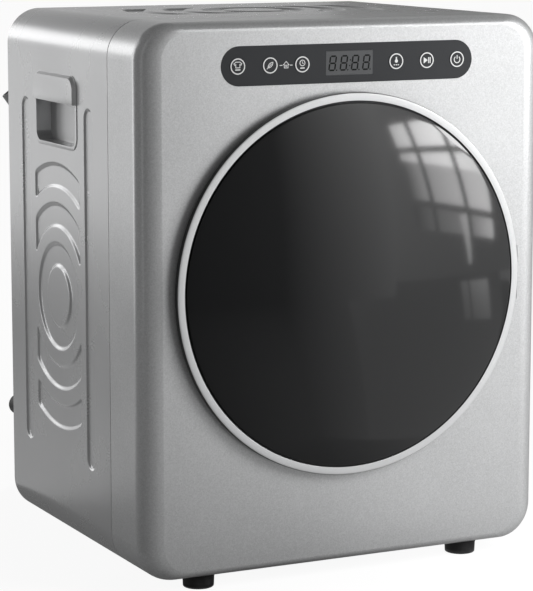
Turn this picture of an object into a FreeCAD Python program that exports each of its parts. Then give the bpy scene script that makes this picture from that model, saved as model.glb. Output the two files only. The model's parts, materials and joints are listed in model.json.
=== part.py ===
"""Compact vented tumble dryer: cabinet, porthole door, drum, fan, drive and controls.

Millimetres. +Z is up and the front faces -Y. The origin is on the floor under the middle of the
dryer's whole depth. Depths are counted backwards from the flat front face, heights upwards from
the underside of the cabinet.
"""
import FreeCAD
import Part
import math
import os
from FreeCAD import Vector

# Cabinet
CAB_W = 490.0
CAB_D = 385.0
CORNER_R = 40.0
SHEET = 0.8
FLANGE_W = 62.0
FOOT_H = 16.0
FOOT_R = 18.0
FOOT_TAPER = 1.0
FOOT_SIDE = 80.0
FOOT_END = 34.0
FOOT_BOLT_R = 4.0
BOLT_HEAD = 4.0

# Moulded front
SEAM_D = 85.0
SEAM_GAP = 0.8
FRAME_WALL = 3.0
LIP = 11.0
LIP_WALL = 2.0
EDGE_SIDE = 25.0
EDGE_TOP = 10.0
EDGE_DEPTH = 20.0
EDGE_STEPS = 6

# Clearances: between moving bodies, between fixed pieces, and in a running fit
GAP = 0.3
SLIP = 0.2
RUN = 0.06

# Drum and its bearings
DRUM_SIDE = 31.0
UNDER_DRUM = 96.0
DRUM_FRONT = 62.0
DRUM_WALL = 0.8
MOUTH_R = 164.0
LIP_D = 10.0
REAR_ROOM = 80.0
DRUM_BEHIND = 5.0
HUB_R = 90.0
HUB_WALL = 2.3
GLIDE_T = 1.7
LIFTERS = 3
LIFTER_H = 40.0
LIFTER_BASE = 62.0
LIFTER_TIP = 24.0
LIFTER_INSET = 16.0
LIFTER_T = 2.0

# Door
DOOR_MARGIN = 36.0
RING_FACE = 6.6
RING_T = 2.2
RING_PROUD = 12.5
RING_SKIRT = 5.0
RING_EDGE = 1.8
DOME_RISE = 33.5
DOME_T = 3.0
DOME_RIM = 3.0
DOME_GAP = 0.4
DOOR_GAP = 1.5
BODY_STEP = 5.0
OPENING_RIM = 58.0
BOWL_GAP = 5.0
BOWL_DEEP = 38.0
BOWL_DRAFT = 18.0
BOWL_T = 3.0
BOWL_FLANGE = 5.0
SEAL_W = 8.0
SEAL_T = 1.1
SCREW_R = 3.5
SCREW_HEAD = 0.9

# Hinge and latch
HINGE_TALL = 60.0
KNUCKLE_R = 3.0
KNUCKLE_L = 10.0
HINGE_OUT = 0.5
HINGE_PROUD = 4.0
PIN_R = 1.5
LEAF_T = 2.0
LEAF_W = 18.0
BRACKET_T = 2.5
BRACKET_W = 22.0
STRIKE_IN = 31.0
STRIKE_L = 16.0
STRIKE_W = 4.0
STRIKE_TALL = 12.0
STRIKE_BARB = 1.5
LATCH_WALL = 9.0
LATCH_ROOM = 5.0
LATCH_D = 27.0
SWITCH_TALL = 15.0

# Control strip
PANEL_W = 304.0
PANEL_H = 42.0
PANEL_OVER_DOOR = 10.0
PANEL_UNDER_TOP = 26.0
PANEL_T = 2.0
PANEL_PROUD = 0.5
PANEL_LEDGE = 5.0
KEY_R = 8.8
KEY_BESIDE = 28.5
KEY_END = 19.0
KEY_TRAVEL = 0.8
KEY_PROUD = 0.7
KEY_RIM = 1.7
KEY_STEM_R = 3.0
KEY_STEM_L = 6.0
DISPLAY_W = 57.0
DISPLAY_H = 26.0
BOARD_D = 14.0
BOARD_T = 1.6
BOSS_R = 4.0
MODULE_T = 9.0
SWITCH_W = 6.0
DISPLAY_R = 1.0
DISPLAY_FLANGE = 1.0

# Pressed pattern of the sides and the top
GROOVE = 2.2
RING_FIRST = 34.0
RING_BAND = 26.8
RING_PITCH = 45.0
RINGS = 3
RING_CLIP = 67.0
RING_DROP = 18.5
FLUTE_OUT = 94.0
FLUTE_W = 25.0
FLUTE_END = 98.0

# Carrying grips
GRIP_W = 125.0
GRIP_H = 83.0
GRIP_UNDER_TOP = 65.0
GRIP_R = 16.0
GRIP_RIM = 2.0
GRIP_LIP = 0.8
HOOD_H = 32.0
HOOD_PROUD = 4.6
HOOD_DRAFT = 3.5
POCKET_D = 19.0
GRIP_T = 2.0

# Fan, its scroll and the exhaust
BULKHEAD_T = 1.5
SCROLL_R = 120.0
SCROLL_T = 2.0
SCROLL_D = 41.5
OUTLET_WALL = 2.4
FAN_R = 92.0
FAN_HUB_R = 11.0
FAN_DEEP = 18.0
FAN_DISC = 2.0
FAN_CLEAR = 6.0
FAN_BLADES = 20
FAN_BLADE_T = 1.5
FAN_BLADE_W = 36.0
FAN_PULLEY_R = 40.0
FAN_PULLEY_CLEAR = 5.0
AXLE_R = 5.0
AXLE_FLANGE_R = 20.0
AXLE_FLANGE_T = 4.0
SPOUT_R = 38.0
SPOUT_T = 2.0
SPOUT_SIDE = 77.0
SPOUT_OVER_AXIS = 153.0
SPOUT_COLLAR = 4.0
SPOUT_BEND_R = 46.0
SPOUT_TURN = 78.0
SPOUT_LEAN = 33.0
SPOUT_STUB = 22.0
SPOUT_FLANGE = 12.0
SPOUT_FLANGE_T = 3.0
SPIGOT = 18.0
FILTER_RIM = 3.0
FILTER_D = 13.0
FILTER_SLOTS = 24
FILTER_SLOT_W = 4.0
FILTER_SLOT_L = 42.0
FILTER_HUB_R = 22.0

# Heater
HEATER_SIDE = 103.0
HEATER_UP = 130.0
HEATER_W = 92.0
HEATER_H = 76.0
HEATER_D = 34.0
HEATER_T = 1.5
HEATER_FINS = 12
HEATER_FIN_T = 2.0
CUTOUT_R = 8.0
CUTOUT_T = 7.0
LOUVRES = 6
LOUVRE_W = 70.0
LOUVRE_H = 4.0
LOUVRE_PITCH = 10.0

# Drive
MOTOR_R = 46.0
MOTOR_L = 112.0
MOTOR_BELL = 11.0
MOTOR_SIDE = 80.0
MOTOR_RISE = 24.0
MOTOR_BEHIND = 20.0
SHAFT_R = 6.0
DRUM_PULLEY_R = 9.0
MOTOR_FAN_PULLEY_R = 20.0
PULLEY_RIM = 3.0
PULLEY_RIM_T = 2.0
BELT_T = 2.5
BELT_W = 8.0
BELT_SIDE = 1.0
DRUM_BELT_AT = 68.0
CRADLE_W = 80.0
CRADLE_L = 60.0
CAPACITOR_R = 17.0
CAPACITOR_L = 62.0

# Rear panel fittings
SPACER_R = 12.5
SPACER_L = 31.0
SPACER_SIDE = 17.0
SPACER_H = 122.0
SPACER_EDGE = 3.0
GLAND_R = 8.0
GLAND_L = 12.0
GLAND_FLANGE = 4.0
GLAND_SIDE = 75.0
GLAND_H = 60.0
REAR_SCREW_INSET = 12.0

# Sizes that follow from those above
DRUM_R = CAB_W / 2 - DRUM_SIDE
RING_R = CAB_W / 2 - DOOR_MARGIN
DOME_R = RING_R - RING_FACE - DOME_GAP
OPENING_R = RING_R - OPENING_RIM
AXIS_H = UNDER_DRUM + DRUM_R
PANEL_MID = AXIS_H + RING_R + PANEL_OVER_DOOR + PANEL_H / 2
CAB_H = PANEL_MID + PANEL_H / 2 + PANEL_UNDER_TOP
PATTERN_D = (SEAM_D + CAB_D) / 2
PATTERN_H = CAB_H / 2 - RING_DROP
GRIP_MID = CAB_H - GRIP_UNDER_TOP - GRIP_H / 2
BULKHEAD_D = CAB_D - REAR_ROOM
DRUM_REAR = BULKHEAD_D - DRUM_BEHIND
SCROLL_BACK = BULKHEAD_D + BULKHEAD_T + SCROLL_D
PANEL_INNER = CAB_D - SHEET
FAN_BACK = SCROLL_BACK - SCROLL_T - FAN_CLEAR
FAN_BELT_D = SCROLL_BACK + FAN_PULLEY_CLEAR + PULLEY_RIM_T
DRUM_BELT_D = DRUM_FRONT + DRUM_BELT_AT
MOTOR_X = CAB_W / 2 - MOTOR_SIDE
MOTOR_H = SHEET + MOTOR_RISE + MOTOR_R
MOTOR_D = DRUM_BELT_D + MOTOR_BEHIND
SPOUT_X = SPOUT_SIDE - CAB_W / 2
SPOUT_H = AXIS_H + SPOUT_OVER_AXIS
HINGE_X = RING_R + HINGE_OUT
STRIKE_X = STRIKE_IN - RING_R
FOOT_X = CAB_W / 2 - FOOT_SIDE
HEATER_OUT = CAB_W / 2 - HEATER_SIDE
KEY_FIRST = DISPLAY_W / 2 + KEY_BESIDE
KEY_LAST = PANEL_W / 2 - KEY_END
FOOT_DEPTHS = (FOOT_END, CAB_D - FOOT_END)
BELT_ROOM = BELT_W + 2 * BELT_SIDE
PULLEY_W = BELT_ROOM + 2 * PULLEY_RIM_T
SPOUT_PROUD = (
    SPOUT_COLLAR
    + (SPOUT_BEND_R + SPOUT_R) * math.sin(math.radians(SPOUT_TURN))
    + SPOUT_STUB * math.cos(math.radians(SPOUT_TURN))
)
DOME_PROUD = RING_PROUD + DOME_RISE
FACE_Y = DOME_PROUD - (DOME_PROUD + CAB_D + SPOUT_PROUD) / 2

X, Y, Z = Vector(1, 0, 0), Vector(0, 1, 0), Vector(0, 0, 1)


def spot(x, d, h):
    """Point at x, at depth d behind the front face and height h over the cabinet's underside."""
    return Vector(x, FACE_Y + d, FOOT_H + h)


def block(x0, x1, d0, d1, h0, h1):
    return Part.makeBox(x1 - x0, d1 - d0, h1 - h0, spot(x0, d0, h0))


def rod(r, x, h, d0, d1):
    """Round bar that runs from front to back."""
    return Part.makeCylinder(r, d1 - d0, spot(x, d0, h), Y)


def pipe(r_out, r_in, x, h, d0, d1):
    return rod(r_out, x, h, d0, d1).cut(rod(r_in, x, h, d0, d1))


def post(r, x, d, h0, h1):
    """Upright round bar."""
    return Part.makeCylinder(r, h1 - h0, spot(x, d, h0), Z)


def joined(solids):
    return solids[0].multiFuse(solids[1:]).removeSplitter()


def turned(profile, x=0.0, h=AXIS_H):
    """Solid of revolution about a front-to-back axis, from (radius, depth) points."""
    points = [spot(x + r, d, h) for r, d in profile]
    face = Part.Face(Part.makePolygon(points + points[:1]))
    return face.revolve(spot(x, 0, h), Y, 360)


def rounded_outline(width, tall, r):
    """Rounded rectangle about the local origin, as a wire in the local XY plane."""
    edges = []
    corners = []
    for step in range(4):
        turn = math.radians(90 * step)
        side = Vector(math.cos(turn) - math.sin(turn), math.sin(turn) + math.cos(turn))
        centre = Vector(side.x * (width / 2 - r), side.y * (tall / 2 - r))
        arc = [turn + math.radians(45 * part) for part in range(3)]
        corners.append([centre + Vector(math.cos(a), math.sin(a)) * r for a in arc])
    for step, (start, middle, end) in enumerate(corners):
        edges.append(Part.Arc(start, middle, end).toShape())
        following = corners[(step + 1) % 4][0]
        if end.distanceToPoint(following) > 1e-6:
            edges.append(Part.makeLine(end, following))
    return Part.Wire(edges)


def placed(shape, origin, across, upward):
    """Shape moved from local axes: X along across, Y along upward, Z along their cross product."""
    out = across.cross(upward)
    matrix = FreeCAD.Matrix(
        across.x, upward.x, out.x, origin.x,
        across.y, upward.y, out.y, origin.y,
        across.z, upward.z, out.z, origin.z,
        0, 0, 0, 1,
    )
    moved = shape.copy()
    moved.Placement = FreeCAD.Placement(matrix)
    return moved


def front_slab(width, tall, r, x, h, d0, d1):
    """Rounded plate that faces the front, between two depths."""
    face = Part.Face(rounded_outline(width, tall, r))
    return placed(face, spot(x, d1, h), X, Z).extrude(Y * (d0 - d1))


def left_slab(width, tall, r, d, h, x_in, x_out):
    """Rounded plate that faces the left, between two places across the cabinet."""
    face = Part.Face(rounded_outline(width, tall, r))
    return placed(face, spot(x_in, d, h), -Y, Z).extrude(X * (x_out - x_in))


def cabinet_slab(inset, d0, d1):
    """The cabinet's cross-section, drawn in all round by inset."""
    return front_slab(CAB_W - 2 * inset, CAB_H - 2 * inset, CORNER_R - inset, 0, CAB_H / 2, d0, d1)


def loop_slab(first, r1, second, r2, d0, d1):
    """Slab of the outline that a taut loop takes round two circles, given as (x, h) centres."""
    dx, dh = second[0] - first[0], second[1] - first[1]
    aim = math.atan2(dh, dx)
    spread = math.acos((r1 - r2) / math.hypot(dx, dh))

    def on(centre, r, angle):
        return spot(centre[0] + r * math.cos(angle), d0, centre[1] + r * math.sin(angle))

    a, b = on(first, r1, aim + spread), on(first, r1, aim - spread)
    c, e = on(second, r2, aim - spread), on(second, r2, aim + spread)
    wire = Part.Wire([
        Part.Arc(a, on(first, r1, aim + math.pi), b).toShape(),
        Part.makeLine(b, c),
        Part.Arc(c, on(second, r2, aim), e).toShape(),
        Part.makeLine(e, a),
    ])
    return Part.Face(wire).extrude(Y * (d1 - d0))


def mirrored(shape):
    return shape.mirror(Vector(0, 0, 0), X)


def front_form(inset, d0, d1):
    """Cabinet cross-section whose front edges are rolled over, more at the sides than on top."""
    wires = []
    for step in range(EDGE_STEPS + 1):
        turn = math.radians(90 * step / EDGE_STEPS)
        drawn = 1 - math.sin(turn)
        across, tall = inset + EDGE_SIDE * drawn, inset + EDGE_TOP * drawn
        outline = rounded_outline(CAB_W - 2 * across, CAB_H - 2 * tall, CORNER_R - tall)
        depth = d0 + EDGE_DEPTH * (1 - math.cos(turn))
        wires.append(placed(outline, spot(0, depth, CAB_H / 2), X, Z))
    nose = Part.makeLoft(wires, True)
    return nose.fuse(cabinet_slab(inset, d0 + EDGE_DEPTH, d1))


def front_frame():
    shell = front_form(0, 0, SEAM_D).cut(front_form(FRAME_WALL, FRAME_WALL, SEAM_D + LIP))
    lip_in = SHEET + SLIP
    lip = cabinet_slab(lip_in, SEAM_D - LIP, SEAM_D + LIP)
    lip = lip.cut(cabinet_slab(lip_in + LIP_WALL, SEAM_D - LIP, SEAM_D + LIP))
    bosses = [rod(BOSS_R, x, h, FRAME_WALL, BOARD_D) for x, h in board_bosses()]
    seat = PANEL_T - PANEL_PROUD
    holes = [
        rod(OPENING_R, 0, AXIS_H, 0, FRAME_WALL),
        front_slab(PANEL_W + 2 * SLIP, PANEL_H + 2 * SLIP, PANEL_H / 2 + SLIP, 0, PANEL_MID, 0, seat),
        panel_hole(0, FRAME_WALL),
        latch_slot(0, FRAME_WALL),
    ]
    holes += [arm_slot(h0) for h0 in arm_heights()]
    holes += [foot_hole(x, FOOT_END) for x in (-FOOT_X, FOOT_X)]
    return joined([shell, lip] + bosses).cut(holes)


def panel_hole(d0, d1):
    return front_slab(
        PANEL_W - 2 * PANEL_LEDGE, PANEL_H - 2 * PANEL_LEDGE, PANEL_H / 2 - PANEL_LEDGE,
        0, PANEL_MID, d0, d1,
    )


def board_bosses():
    up = PANEL_H / 2 + BOSS_R - PANEL_PROUD
    return [(x, PANEL_MID + h) for x in (-KEY_LAST, KEY_LAST) for h in (-up, up)]


def foot_hole(x, d):
    return post(FOOT_BOLT_R + SLIP, x, d, -SHEET, FRAME_WALL + SHEET)


def latch_slot(d0, d1):
    wide, tall = STRIKE_W / 2 + LATCH_ROOM, STRIKE_TALL / 2 + LATCH_ROOM
    return block(STRIKE_X - wide, STRIKE_X + wide, d0, d1, AXIS_H - tall, AXIS_H + tall)


def arm_heights():
    return (AXIS_H - HINGE_TALL / 2, AXIS_H + HINGE_TALL / 2 - KNUCKLE_L)


def arm_slot(h0):
    wide = KNUCKLE_R + GAP
    return block(HINGE_X - wide, HINGE_X + wide, 0, FRAME_WALL, h0 - GAP, h0 + KNUCKLE_L + GAP)


def pressed_ring(r_in, r_out, grow, top, bottom):
    """Ring with 45 degree walls about the local Z axis, wider towards its top."""
    profile = [
        Vector(r_in - grow - top, 0, top),
        Vector(r_out + grow + top, 0, top),
        Vector(r_out + grow + bottom, 0, bottom),
        Vector(r_in - grow - bottom, 0, bottom),
    ]
    return Part.Face(Part.makePolygon(profile + profile[:1])).revolve(Vector(), Z, 360)


def pressed_strip(grow, top, bottom):
    """Long slab with 45 degree walls that clips the outer rings."""
    reach = RING_FIRST + RINGS * RING_PITCH
    profile = [
        Vector(-RING_CLIP - grow - top, -reach, top),
        Vector(RING_CLIP + grow + top, -reach, top),
        Vector(RING_CLIP + grow + bottom, -reach, bottom),
        Vector(-RING_CLIP - grow - bottom, -reach, bottom),
    ]
    return Part.Face(Part.makePolygon(profile + profile[:1])).extrude(Y * 2 * reach)


def pressed_rings(grow, top, bottom):
    strip = pressed_strip(grow, top, bottom)
    forms = []
    for number in range(RINGS):
        r_in = RING_FIRST + number * RING_PITCH
        ring = pressed_ring(r_in, r_in + RING_BAND, grow, top, bottom)
        forms.append(ring.common(strip) if r_in + RING_BAND > RING_CLIP else ring)
    return forms


def pressed_flutes(grow, top, bottom):
    """Two upright round-ended channels, one each side of the rings."""
    forms = []
    for u in (-FLUTE_OUT, FLUTE_OUT):
        wires = []
        for level in (top, bottom):
            wide = FLUTE_W + 2 * (grow + level)
            tall = CAB_H - 2 * FLUTE_END + 2 * (grow + level)
            outline = rounded_outline(wide, tall, wide / 2)
            outline.translate(Vector(u, CAB_H / 2 - PATTERN_H, level))
            wires.append(outline)
        forms.append(Part.makeLoft(wires, True, True))
    return forms


def pressed_pattern(grow, top, bottom):
    """The pressed forms of the left side, the right side and the top, where they lie."""
    rings = pressed_rings(grow, top, bottom)
    side = rings + pressed_flutes(grow, top, bottom)
    left = spot(-CAB_W / 2, PATTERN_D, PATTERN_H)
    right = spot(CAB_W / 2, PATTERN_D, PATTERN_H)
    over = spot(0, PATTERN_D, CAB_H)
    forms = [placed(form, left, -Y, Z) for form in side]
    forms += [placed(form, right, Y, Z) for form in side]
    forms += [placed(form, over, -Y, X) for form in rings]
    return forms


def cabinet_wrap():
    start = SEAM_D + SEAM_GAP
    tube = cabinet_slab(0, start, CAB_D).cut(cabinet_slab(SHEET, start, CAB_D))
    under = CAB_W / 2 - FLANGE_W
    grip = left_slab(
        GRIP_W - 2 * GRIP_RIM, GRIP_H - 2 * GRIP_RIM, GRIP_R - GRIP_RIM,
        PATTERN_D, GRIP_MID, GRIP_T - CAB_W / 2, -GRIP_T - CAB_W / 2,
    )
    backs = pressed_pattern(SHEET, -SHEET / 2, -GROOVE - SHEET)
    cuts = pressed_pattern(0, SHEET / 2, -GROOVE)
    cuts += [grip, mirrored(grip), block(-under, under, start, CAB_D, 0, SHEET)]
    return tube.multiFuse(backs).cut(cuts)


def left_grip():
    """Moulded grip: a finger pocket in the side, with a raised hood over its upper part."""
    side = -CAB_W / 2
    inner_w, inner_h = GRIP_W - 2 * GRIP_RIM - 2 * SLIP, GRIP_H - 2 * GRIP_RIM - 2 * SLIP
    inner_r = GRIP_R - GRIP_RIM - SLIP
    rim = left_slab(GRIP_W, GRIP_H, GRIP_R, PATTERN_D, GRIP_MID, side, side - GRIP_LIP)
    tub = left_slab(inner_w, inner_h, inner_r, PATTERN_D, GRIP_MID, side + POCKET_D, side)
    pocket = left_slab(
        inner_w - 2 * GRIP_T, inner_h - 2 * GRIP_T, inner_r - GRIP_T,
        PATTERN_D, GRIP_MID, side + POCKET_D - GRIP_T, side - GRIP_LIP,
    )
    outer, hollow = grip_hood(0, HOOD_PROUD), grip_hood(GRIP_T, HOOD_PROUD - GRIP_T)
    return joined([rim, tub, outer]).cut([pocket, hollow])


def grip_hood(inset, proud):
    """Tapered block over the top of the grip, cut off square at the hood's lower edge."""
    side = -CAB_W / 2
    wires = []
    for out, draft in ((0, 0), (proud, HOOD_DRAFT)):
        drawn = 2 * (inset + draft)
        outline = rounded_outline(GRIP_W - drawn, GRIP_H - drawn, GRIP_R - inset - draft)
        wires.append(placed(outline, spot(side - out, PATTERN_D, GRIP_MID), -Y, Z))
    whole = Part.makeLoft(wires, True, True)
    top = GRIP_MID + GRIP_H / 2
    half = GRIP_W / 2
    keep = block(
        side - proud, side, PATTERN_D - half, PATTERN_D + half,
        top - HOOD_H - inset, top,
    )
    return whole.common(keep)


def base_pan():
    """Floor sheet between the wrap's bottom flanges, with a lip over each of them."""
    half = CAB_W / 2 - FLANGE_W
    front, lap = SEAM_D + SEAM_GAP, SEAM_D + LIP + SEAM_GAP
    floor = block(-half, half, front, PANEL_INNER, 0, SHEET)
    lips = [
        block(side * half - LIP, side * half + LIP, lap, PANEL_INNER, SHEET, 2 * SHEET)
        for side in (-1, 1)
    ]
    holes = [foot_hole(x, CAB_D - FOOT_END) for x in (-FOOT_X, FOOT_X)]
    return joined([floor] + lips).cut(holes)


def foot(x, d):
    """Rubber foot, slightly tapered, with a counterbored hole for its bolt."""
    top = spot(x, d, 0)
    cone = Part.makeCone(FOOT_R, FOOT_R - FOOT_TAPER, FOOT_H, top, -Z)
    bore = post(FOOT_BOLT_R + SLIP, x, d, -FOOT_H, 0)
    counterbore = post(FOOT_BOLT_R + BOLT_HEAD + SLIP, x, d, -FOOT_H, 2 * BOLT_HEAD - FOOT_H)
    return cone.cut([bore, counterbore])


def foot_screws():
    bolts = []
    for x in (-FOOT_X, FOOT_X):
        for d in FOOT_DEPTHS:
            seat = 2 * BOLT_HEAD - FOOT_H
            head = post(FOOT_BOLT_R + BOLT_HEAD, x, d, seat - BOLT_HEAD, seat)
            bolts.append(head.fuse(post(FOOT_BOLT_R, x, d, seat, 2 * FRAME_WALL)))
    return Part.makeCompound(bolts)


def rear_panel():
    sheet = cabinet_slab(SHEET, PANEL_INNER, CAB_D)
    holes = [
        rod(SPOUT_R + SLIP, SPOUT_X, SPOUT_H, PANEL_INNER, CAB_D),
        rod(GLAND_R + SLIP, gland_x(), GLAND_H, PANEL_INNER, CAB_D),
    ]
    for number in range(LOUVRES):
        h = AXIS_H + HEATER_UP + (number - (LOUVRES - 1) / 2) * LOUVRE_PITCH
        holes.append(front_slab(LOUVRE_W, LOUVRE_H, LOUVRE_H / 2, HEATER_OUT, h, PANEL_INNER, CAB_D))
    return sheet.cut(holes)


def gland_x():
    return CAB_W / 2 - GLAND_SIDE


def mains_gland():
    flange = rod(GLAND_R + GLAND_FLANGE, gland_x(), GLAND_H, CAB_D, CAB_D + GLAND_L / 2)
    nose = rod(GLAND_R, gland_x(), GLAND_H, PANEL_INNER - GLAND_L / 2, CAB_D + GLAND_L)
    return flange.fuse(nose).cut(rod(GLAND_R / 2, gland_x(), GLAND_H, 0, CAB_D + GLAND_L))


def rear_spacers():
    """Two bumpers that keep the dryer off the wall."""
    x = CAB_W / 2 - SPACER_SIDE
    nose = SPACER_R - SPACER_EDGE
    profile = [(0, CAB_D), (SPACER_R, CAB_D), (SPACER_R, CAB_D + SPACER_L - SPACER_EDGE),
               (nose, CAB_D + SPACER_L), (0, CAB_D + SPACER_L)]
    return Part.makeCompound([turned(profile, side * x, SPACER_H) for side in (-1, 1)])


def panel_screws():
    """Screw heads round the edge of the rear panel."""
    x, low = CAB_W / 2 - REAR_SCREW_INSET, CORNER_R + REAR_SCREW_INSET
    high = CAB_H - low
    places = [(side * x, h) for side in (-1, 1) for h in (low, CAB_H / 2, high)]
    across = CAB_W / 2 - CORNER_R - REAR_SCREW_INSET
    ends = (REAR_SCREW_INSET, CAB_H - REAR_SCREW_INSET)
    places += [(side * across, h) for side in (-1, 1) for h in ends]
    back = CAB_D + 2 * SCREW_HEAD
    return Part.makeCompound([rod(SCREW_R, px, ph, CAB_D, back) for px, ph in places])


def control_fascia():
    front, back = -PANEL_PROUD, PANEL_T - PANEL_PROUD
    strip = front_slab(PANEL_W, PANEL_H, PANEL_H / 2, 0, PANEL_MID, front, back)
    holes = [rod(KEY_R + GAP, x, PANEL_MID, front, back) for x in key_places()]
    holes.append(front_slab(DISPLAY_W, DISPLAY_H, DISPLAY_R, 0, PANEL_MID, front, back))
    return strip.cut(holes)


def key_places():
    right = [KEY_FIRST, (KEY_FIRST + KEY_LAST) / 2, KEY_LAST]
    return [-x for x in reversed(right)] + right


def display_window():
    back = PANEL_T - PANEL_PROUD
    pane = front_slab(
        DISPLAY_W - 2 * SLIP, DISPLAY_H - 2 * SLIP, DISPLAY_R - SLIP, 0, PANEL_MID, -PANEL_PROUD, back
    )
    wide, tall = DISPLAY_W + 2 * DISPLAY_FLANGE, DISPLAY_H + 2 * DISPLAY_FLANGE
    flange = front_slab(wide, tall, DISPLAY_R, 0, PANEL_MID, back, back + DISPLAY_FLANGE)
    return pane.fuse(flange)


def display_module():
    wide, tall = DISPLAY_W / 2 - SLIP, DISPLAY_H / 2 - SLIP
    return block(-wide, wide, BOARD_D - MODULE_T, BOARD_D, PANEL_MID - tall, PANEL_MID + tall)


def control_board():
    """Circuit board on the frame's bosses, with a switch behind each key."""
    wide = PANEL_W / 2 - PANEL_LEDGE
    tall = PANEL_H / 2 + 2 * BOSS_R
    board = block(-wide, wide, BOARD_D, BOARD_D + BOARD_T, PANEL_MID - tall, PANEL_MID + tall)
    half = SWITCH_W / 2
    switches = [
        block(x - half, x + half, switch_front(), BOARD_D, PANEL_MID - half, PANEL_MID + half)
        for x in key_places()
    ]
    return joined([board] + switches)


def key_back():
    return PANEL_T - PANEL_PROUD + GAP + KEY_RIM


def switch_front():
    return key_back() + KEY_STEM_L + KEY_TRAVEL + SLIP


def key(x):
    """Round key with a retaining rim behind the fascia and a stem that reaches its switch."""
    back = key_back()
    cap = rod(KEY_R, x, PANEL_MID, -PANEL_PROUD - KEY_PROUD, back)
    rim = rod(KEY_R + KEY_RIM, x, PANEL_MID, back - KEY_RIM, back)
    stem = rod(KEY_STEM_R, x, PANEL_MID, back, back + KEY_STEM_L)
    return joined([cap, rim, stem])


def door_ring():
    front, back = -RING_PROUD, RING_SKIRT - RING_PROUD
    inner = RING_R - RING_FACE
    seat = RING_T - RING_PROUD
    return turned([
        (inner, front), (RING_R - RING_EDGE, front), (RING_R - RING_EDGE / 3, front + RING_EDGE / 3),
        (RING_R, front + RING_EDGE), (RING_R, back), (RING_R - RING_T, back),
        (RING_R - RING_T, seat), (inner, seat),
    ])


def dome_cap(rise, rim_d):
    """Edge of a shallow spherical cap, from the door's axis out to the dome's rim."""
    r = (DOME_R ** 2 + rise ** 2) / (2 * rise)
    half = math.asin(DOME_R / r) / 2
    middle = spot(r * math.sin(half), rim_d - rise + r * (1 - math.cos(half)), AXIS_H)
    return Part.Arc(spot(0, rim_d - rise, AXIS_H), middle, spot(DOME_R, rim_d, AXIS_H)).toShape()


def door_dome():
    """Smoked front of the door: a shallow shell with a short rim."""
    front, inner = -RING_PROUD + DOME_GAP, -RING_PROUD + DOME_RIM
    outside, inside = dome_cap(DOME_RISE + DOME_GAP, front), dome_cap(DOME_RISE - DOME_T, inner)
    edges = [
        outside,
        Part.makeLine(spot(DOME_R, front, AXIS_H), spot(DOME_R, inner, AXIS_H)),
        inside,
        Part.makeLine(spot(0, -DOME_PROUD, AXIS_H), spot(0, inner - DOME_RISE + DOME_T, AXIS_H)),
    ]
    face = Part.Face(Part.Wire(Part.__sortEdges__(edges)))
    return face.revolve(spot(0, 0, AXIS_H), Y, 360)


def door_body():
    """Dark carrier behind the ring and the dome, with the hinge pocket and a finger scoop."""
    seat, floor, back = RING_T - RING_PROUD, DOME_RIM - RING_PROUD, -DOOR_GAP
    skirt = RING_SKIRT - RING_PROUD
    lip, waist = RING_R - RING_T - SLIP, RING_R - BODY_STEP
    ledge = bowl_flange_r() - BOWL_FLANGE
    inner = RING_R - RING_FACE
    body = turned([
        (ledge, floor), (inner, floor), (inner, seat), (lip, seat), (lip, skirt), (waist, skirt),
        (waist, back), (bowl_flange_r() + SLIP, back), (bowl_flange_r() + SLIP, bowl_seat()),
        (ledge, bowl_seat()),
    ])
    tall = HINGE_TALL / 2 - KNUCKLE_L
    pocket = block(HINGE_X - LEAF_W - SLIP, RING_R, leaf_front(), back, AXIS_H - tall, AXIS_H + tall)
    knuckles = post(KNUCKLE_R + 2 * GAP, HINGE_X, -HINGE_PROUD, *hinge_span(GAP))
    scoop = post(2 * BODY_STEP, -RING_R, back, *hinge_span(LATCH_ROOM))
    return body.cut([pocket, knuckles, scoop])


def bowl_flange_r():
    return OPENING_R - SLIP


def bowl_seat():
    return DOME_RIM - RING_PROUD + BOWL_T


def leaf_front():
    return -HINGE_PROUD - LEAF_T / 2


def hinge_span(spare):
    return (AXIS_H - HINGE_TALL / 2 - spare, AXIS_H + HINGE_TALL / 2 + spare)


def door_bowl():
    """Clear inner bowl that reaches into the drum's mouth."""
    top, rim = bowl_seat(), OPENING_R - BOWL_GAP
    tip, bottom = rim - BOWL_DRAFT, BOWL_DEEP - BOWL_T
    under = top + BOWL_T
    return turned([
        (0, bottom), (tip - BOWL_T, bottom), (rim - BOWL_T, under), (rim - BOWL_T, top),
        (bowl_flange_r(), top), (bowl_flange_r(), under), (rim, under), (tip, BOWL_DEEP),
        (0, BOWL_DEEP),
    ])


def door_seal():
    inner = OPENING_R + SEAL_W
    return pipe(inner + SEAL_W, inner, 0, AXIS_H, -DOOR_GAP, SEAL_T - DOOR_GAP)


def door_screws():
    """Screw heads on the back of the door, clear of the hinge and the strike."""
    r = RING_R - STRIKE_IN / 2
    heads = []
    for turn in (45, 90, 135, 225, 270, 315):
        x, h = r * math.cos(math.radians(turn)), AXIS_H + r * math.sin(math.radians(turn))
        heads.append(rod(SCREW_R, x, h, -DOOR_GAP, SCREW_HEAD - DOOR_GAP))
    return Part.makeCompound(heads)


def door_strike():
    """Hook on the back of the door that enters the latch."""
    half, tall = STRIKE_W / 2, STRIKE_TALL / 2
    foot_w = half + LATCH_ROOM
    base = block(STRIKE_X - foot_w, STRIKE_X + foot_w, -DOOR_GAP, SCREW_HEAD - DOOR_GAP,
                 AXIS_H - tall, AXIS_H + tall)
    arm = block(STRIKE_X - half, STRIKE_X + half, -DOOR_GAP, STRIKE_L, AXIS_H - tall, AXIS_H + tall)
    barb = block(STRIKE_X - half - STRIKE_BARB, STRIKE_X, STRIKE_L - STRIKE_W, STRIKE_L,
                 AXIS_H - tall, AXIS_H + tall)
    return joined([base, arm, barb])


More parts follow.
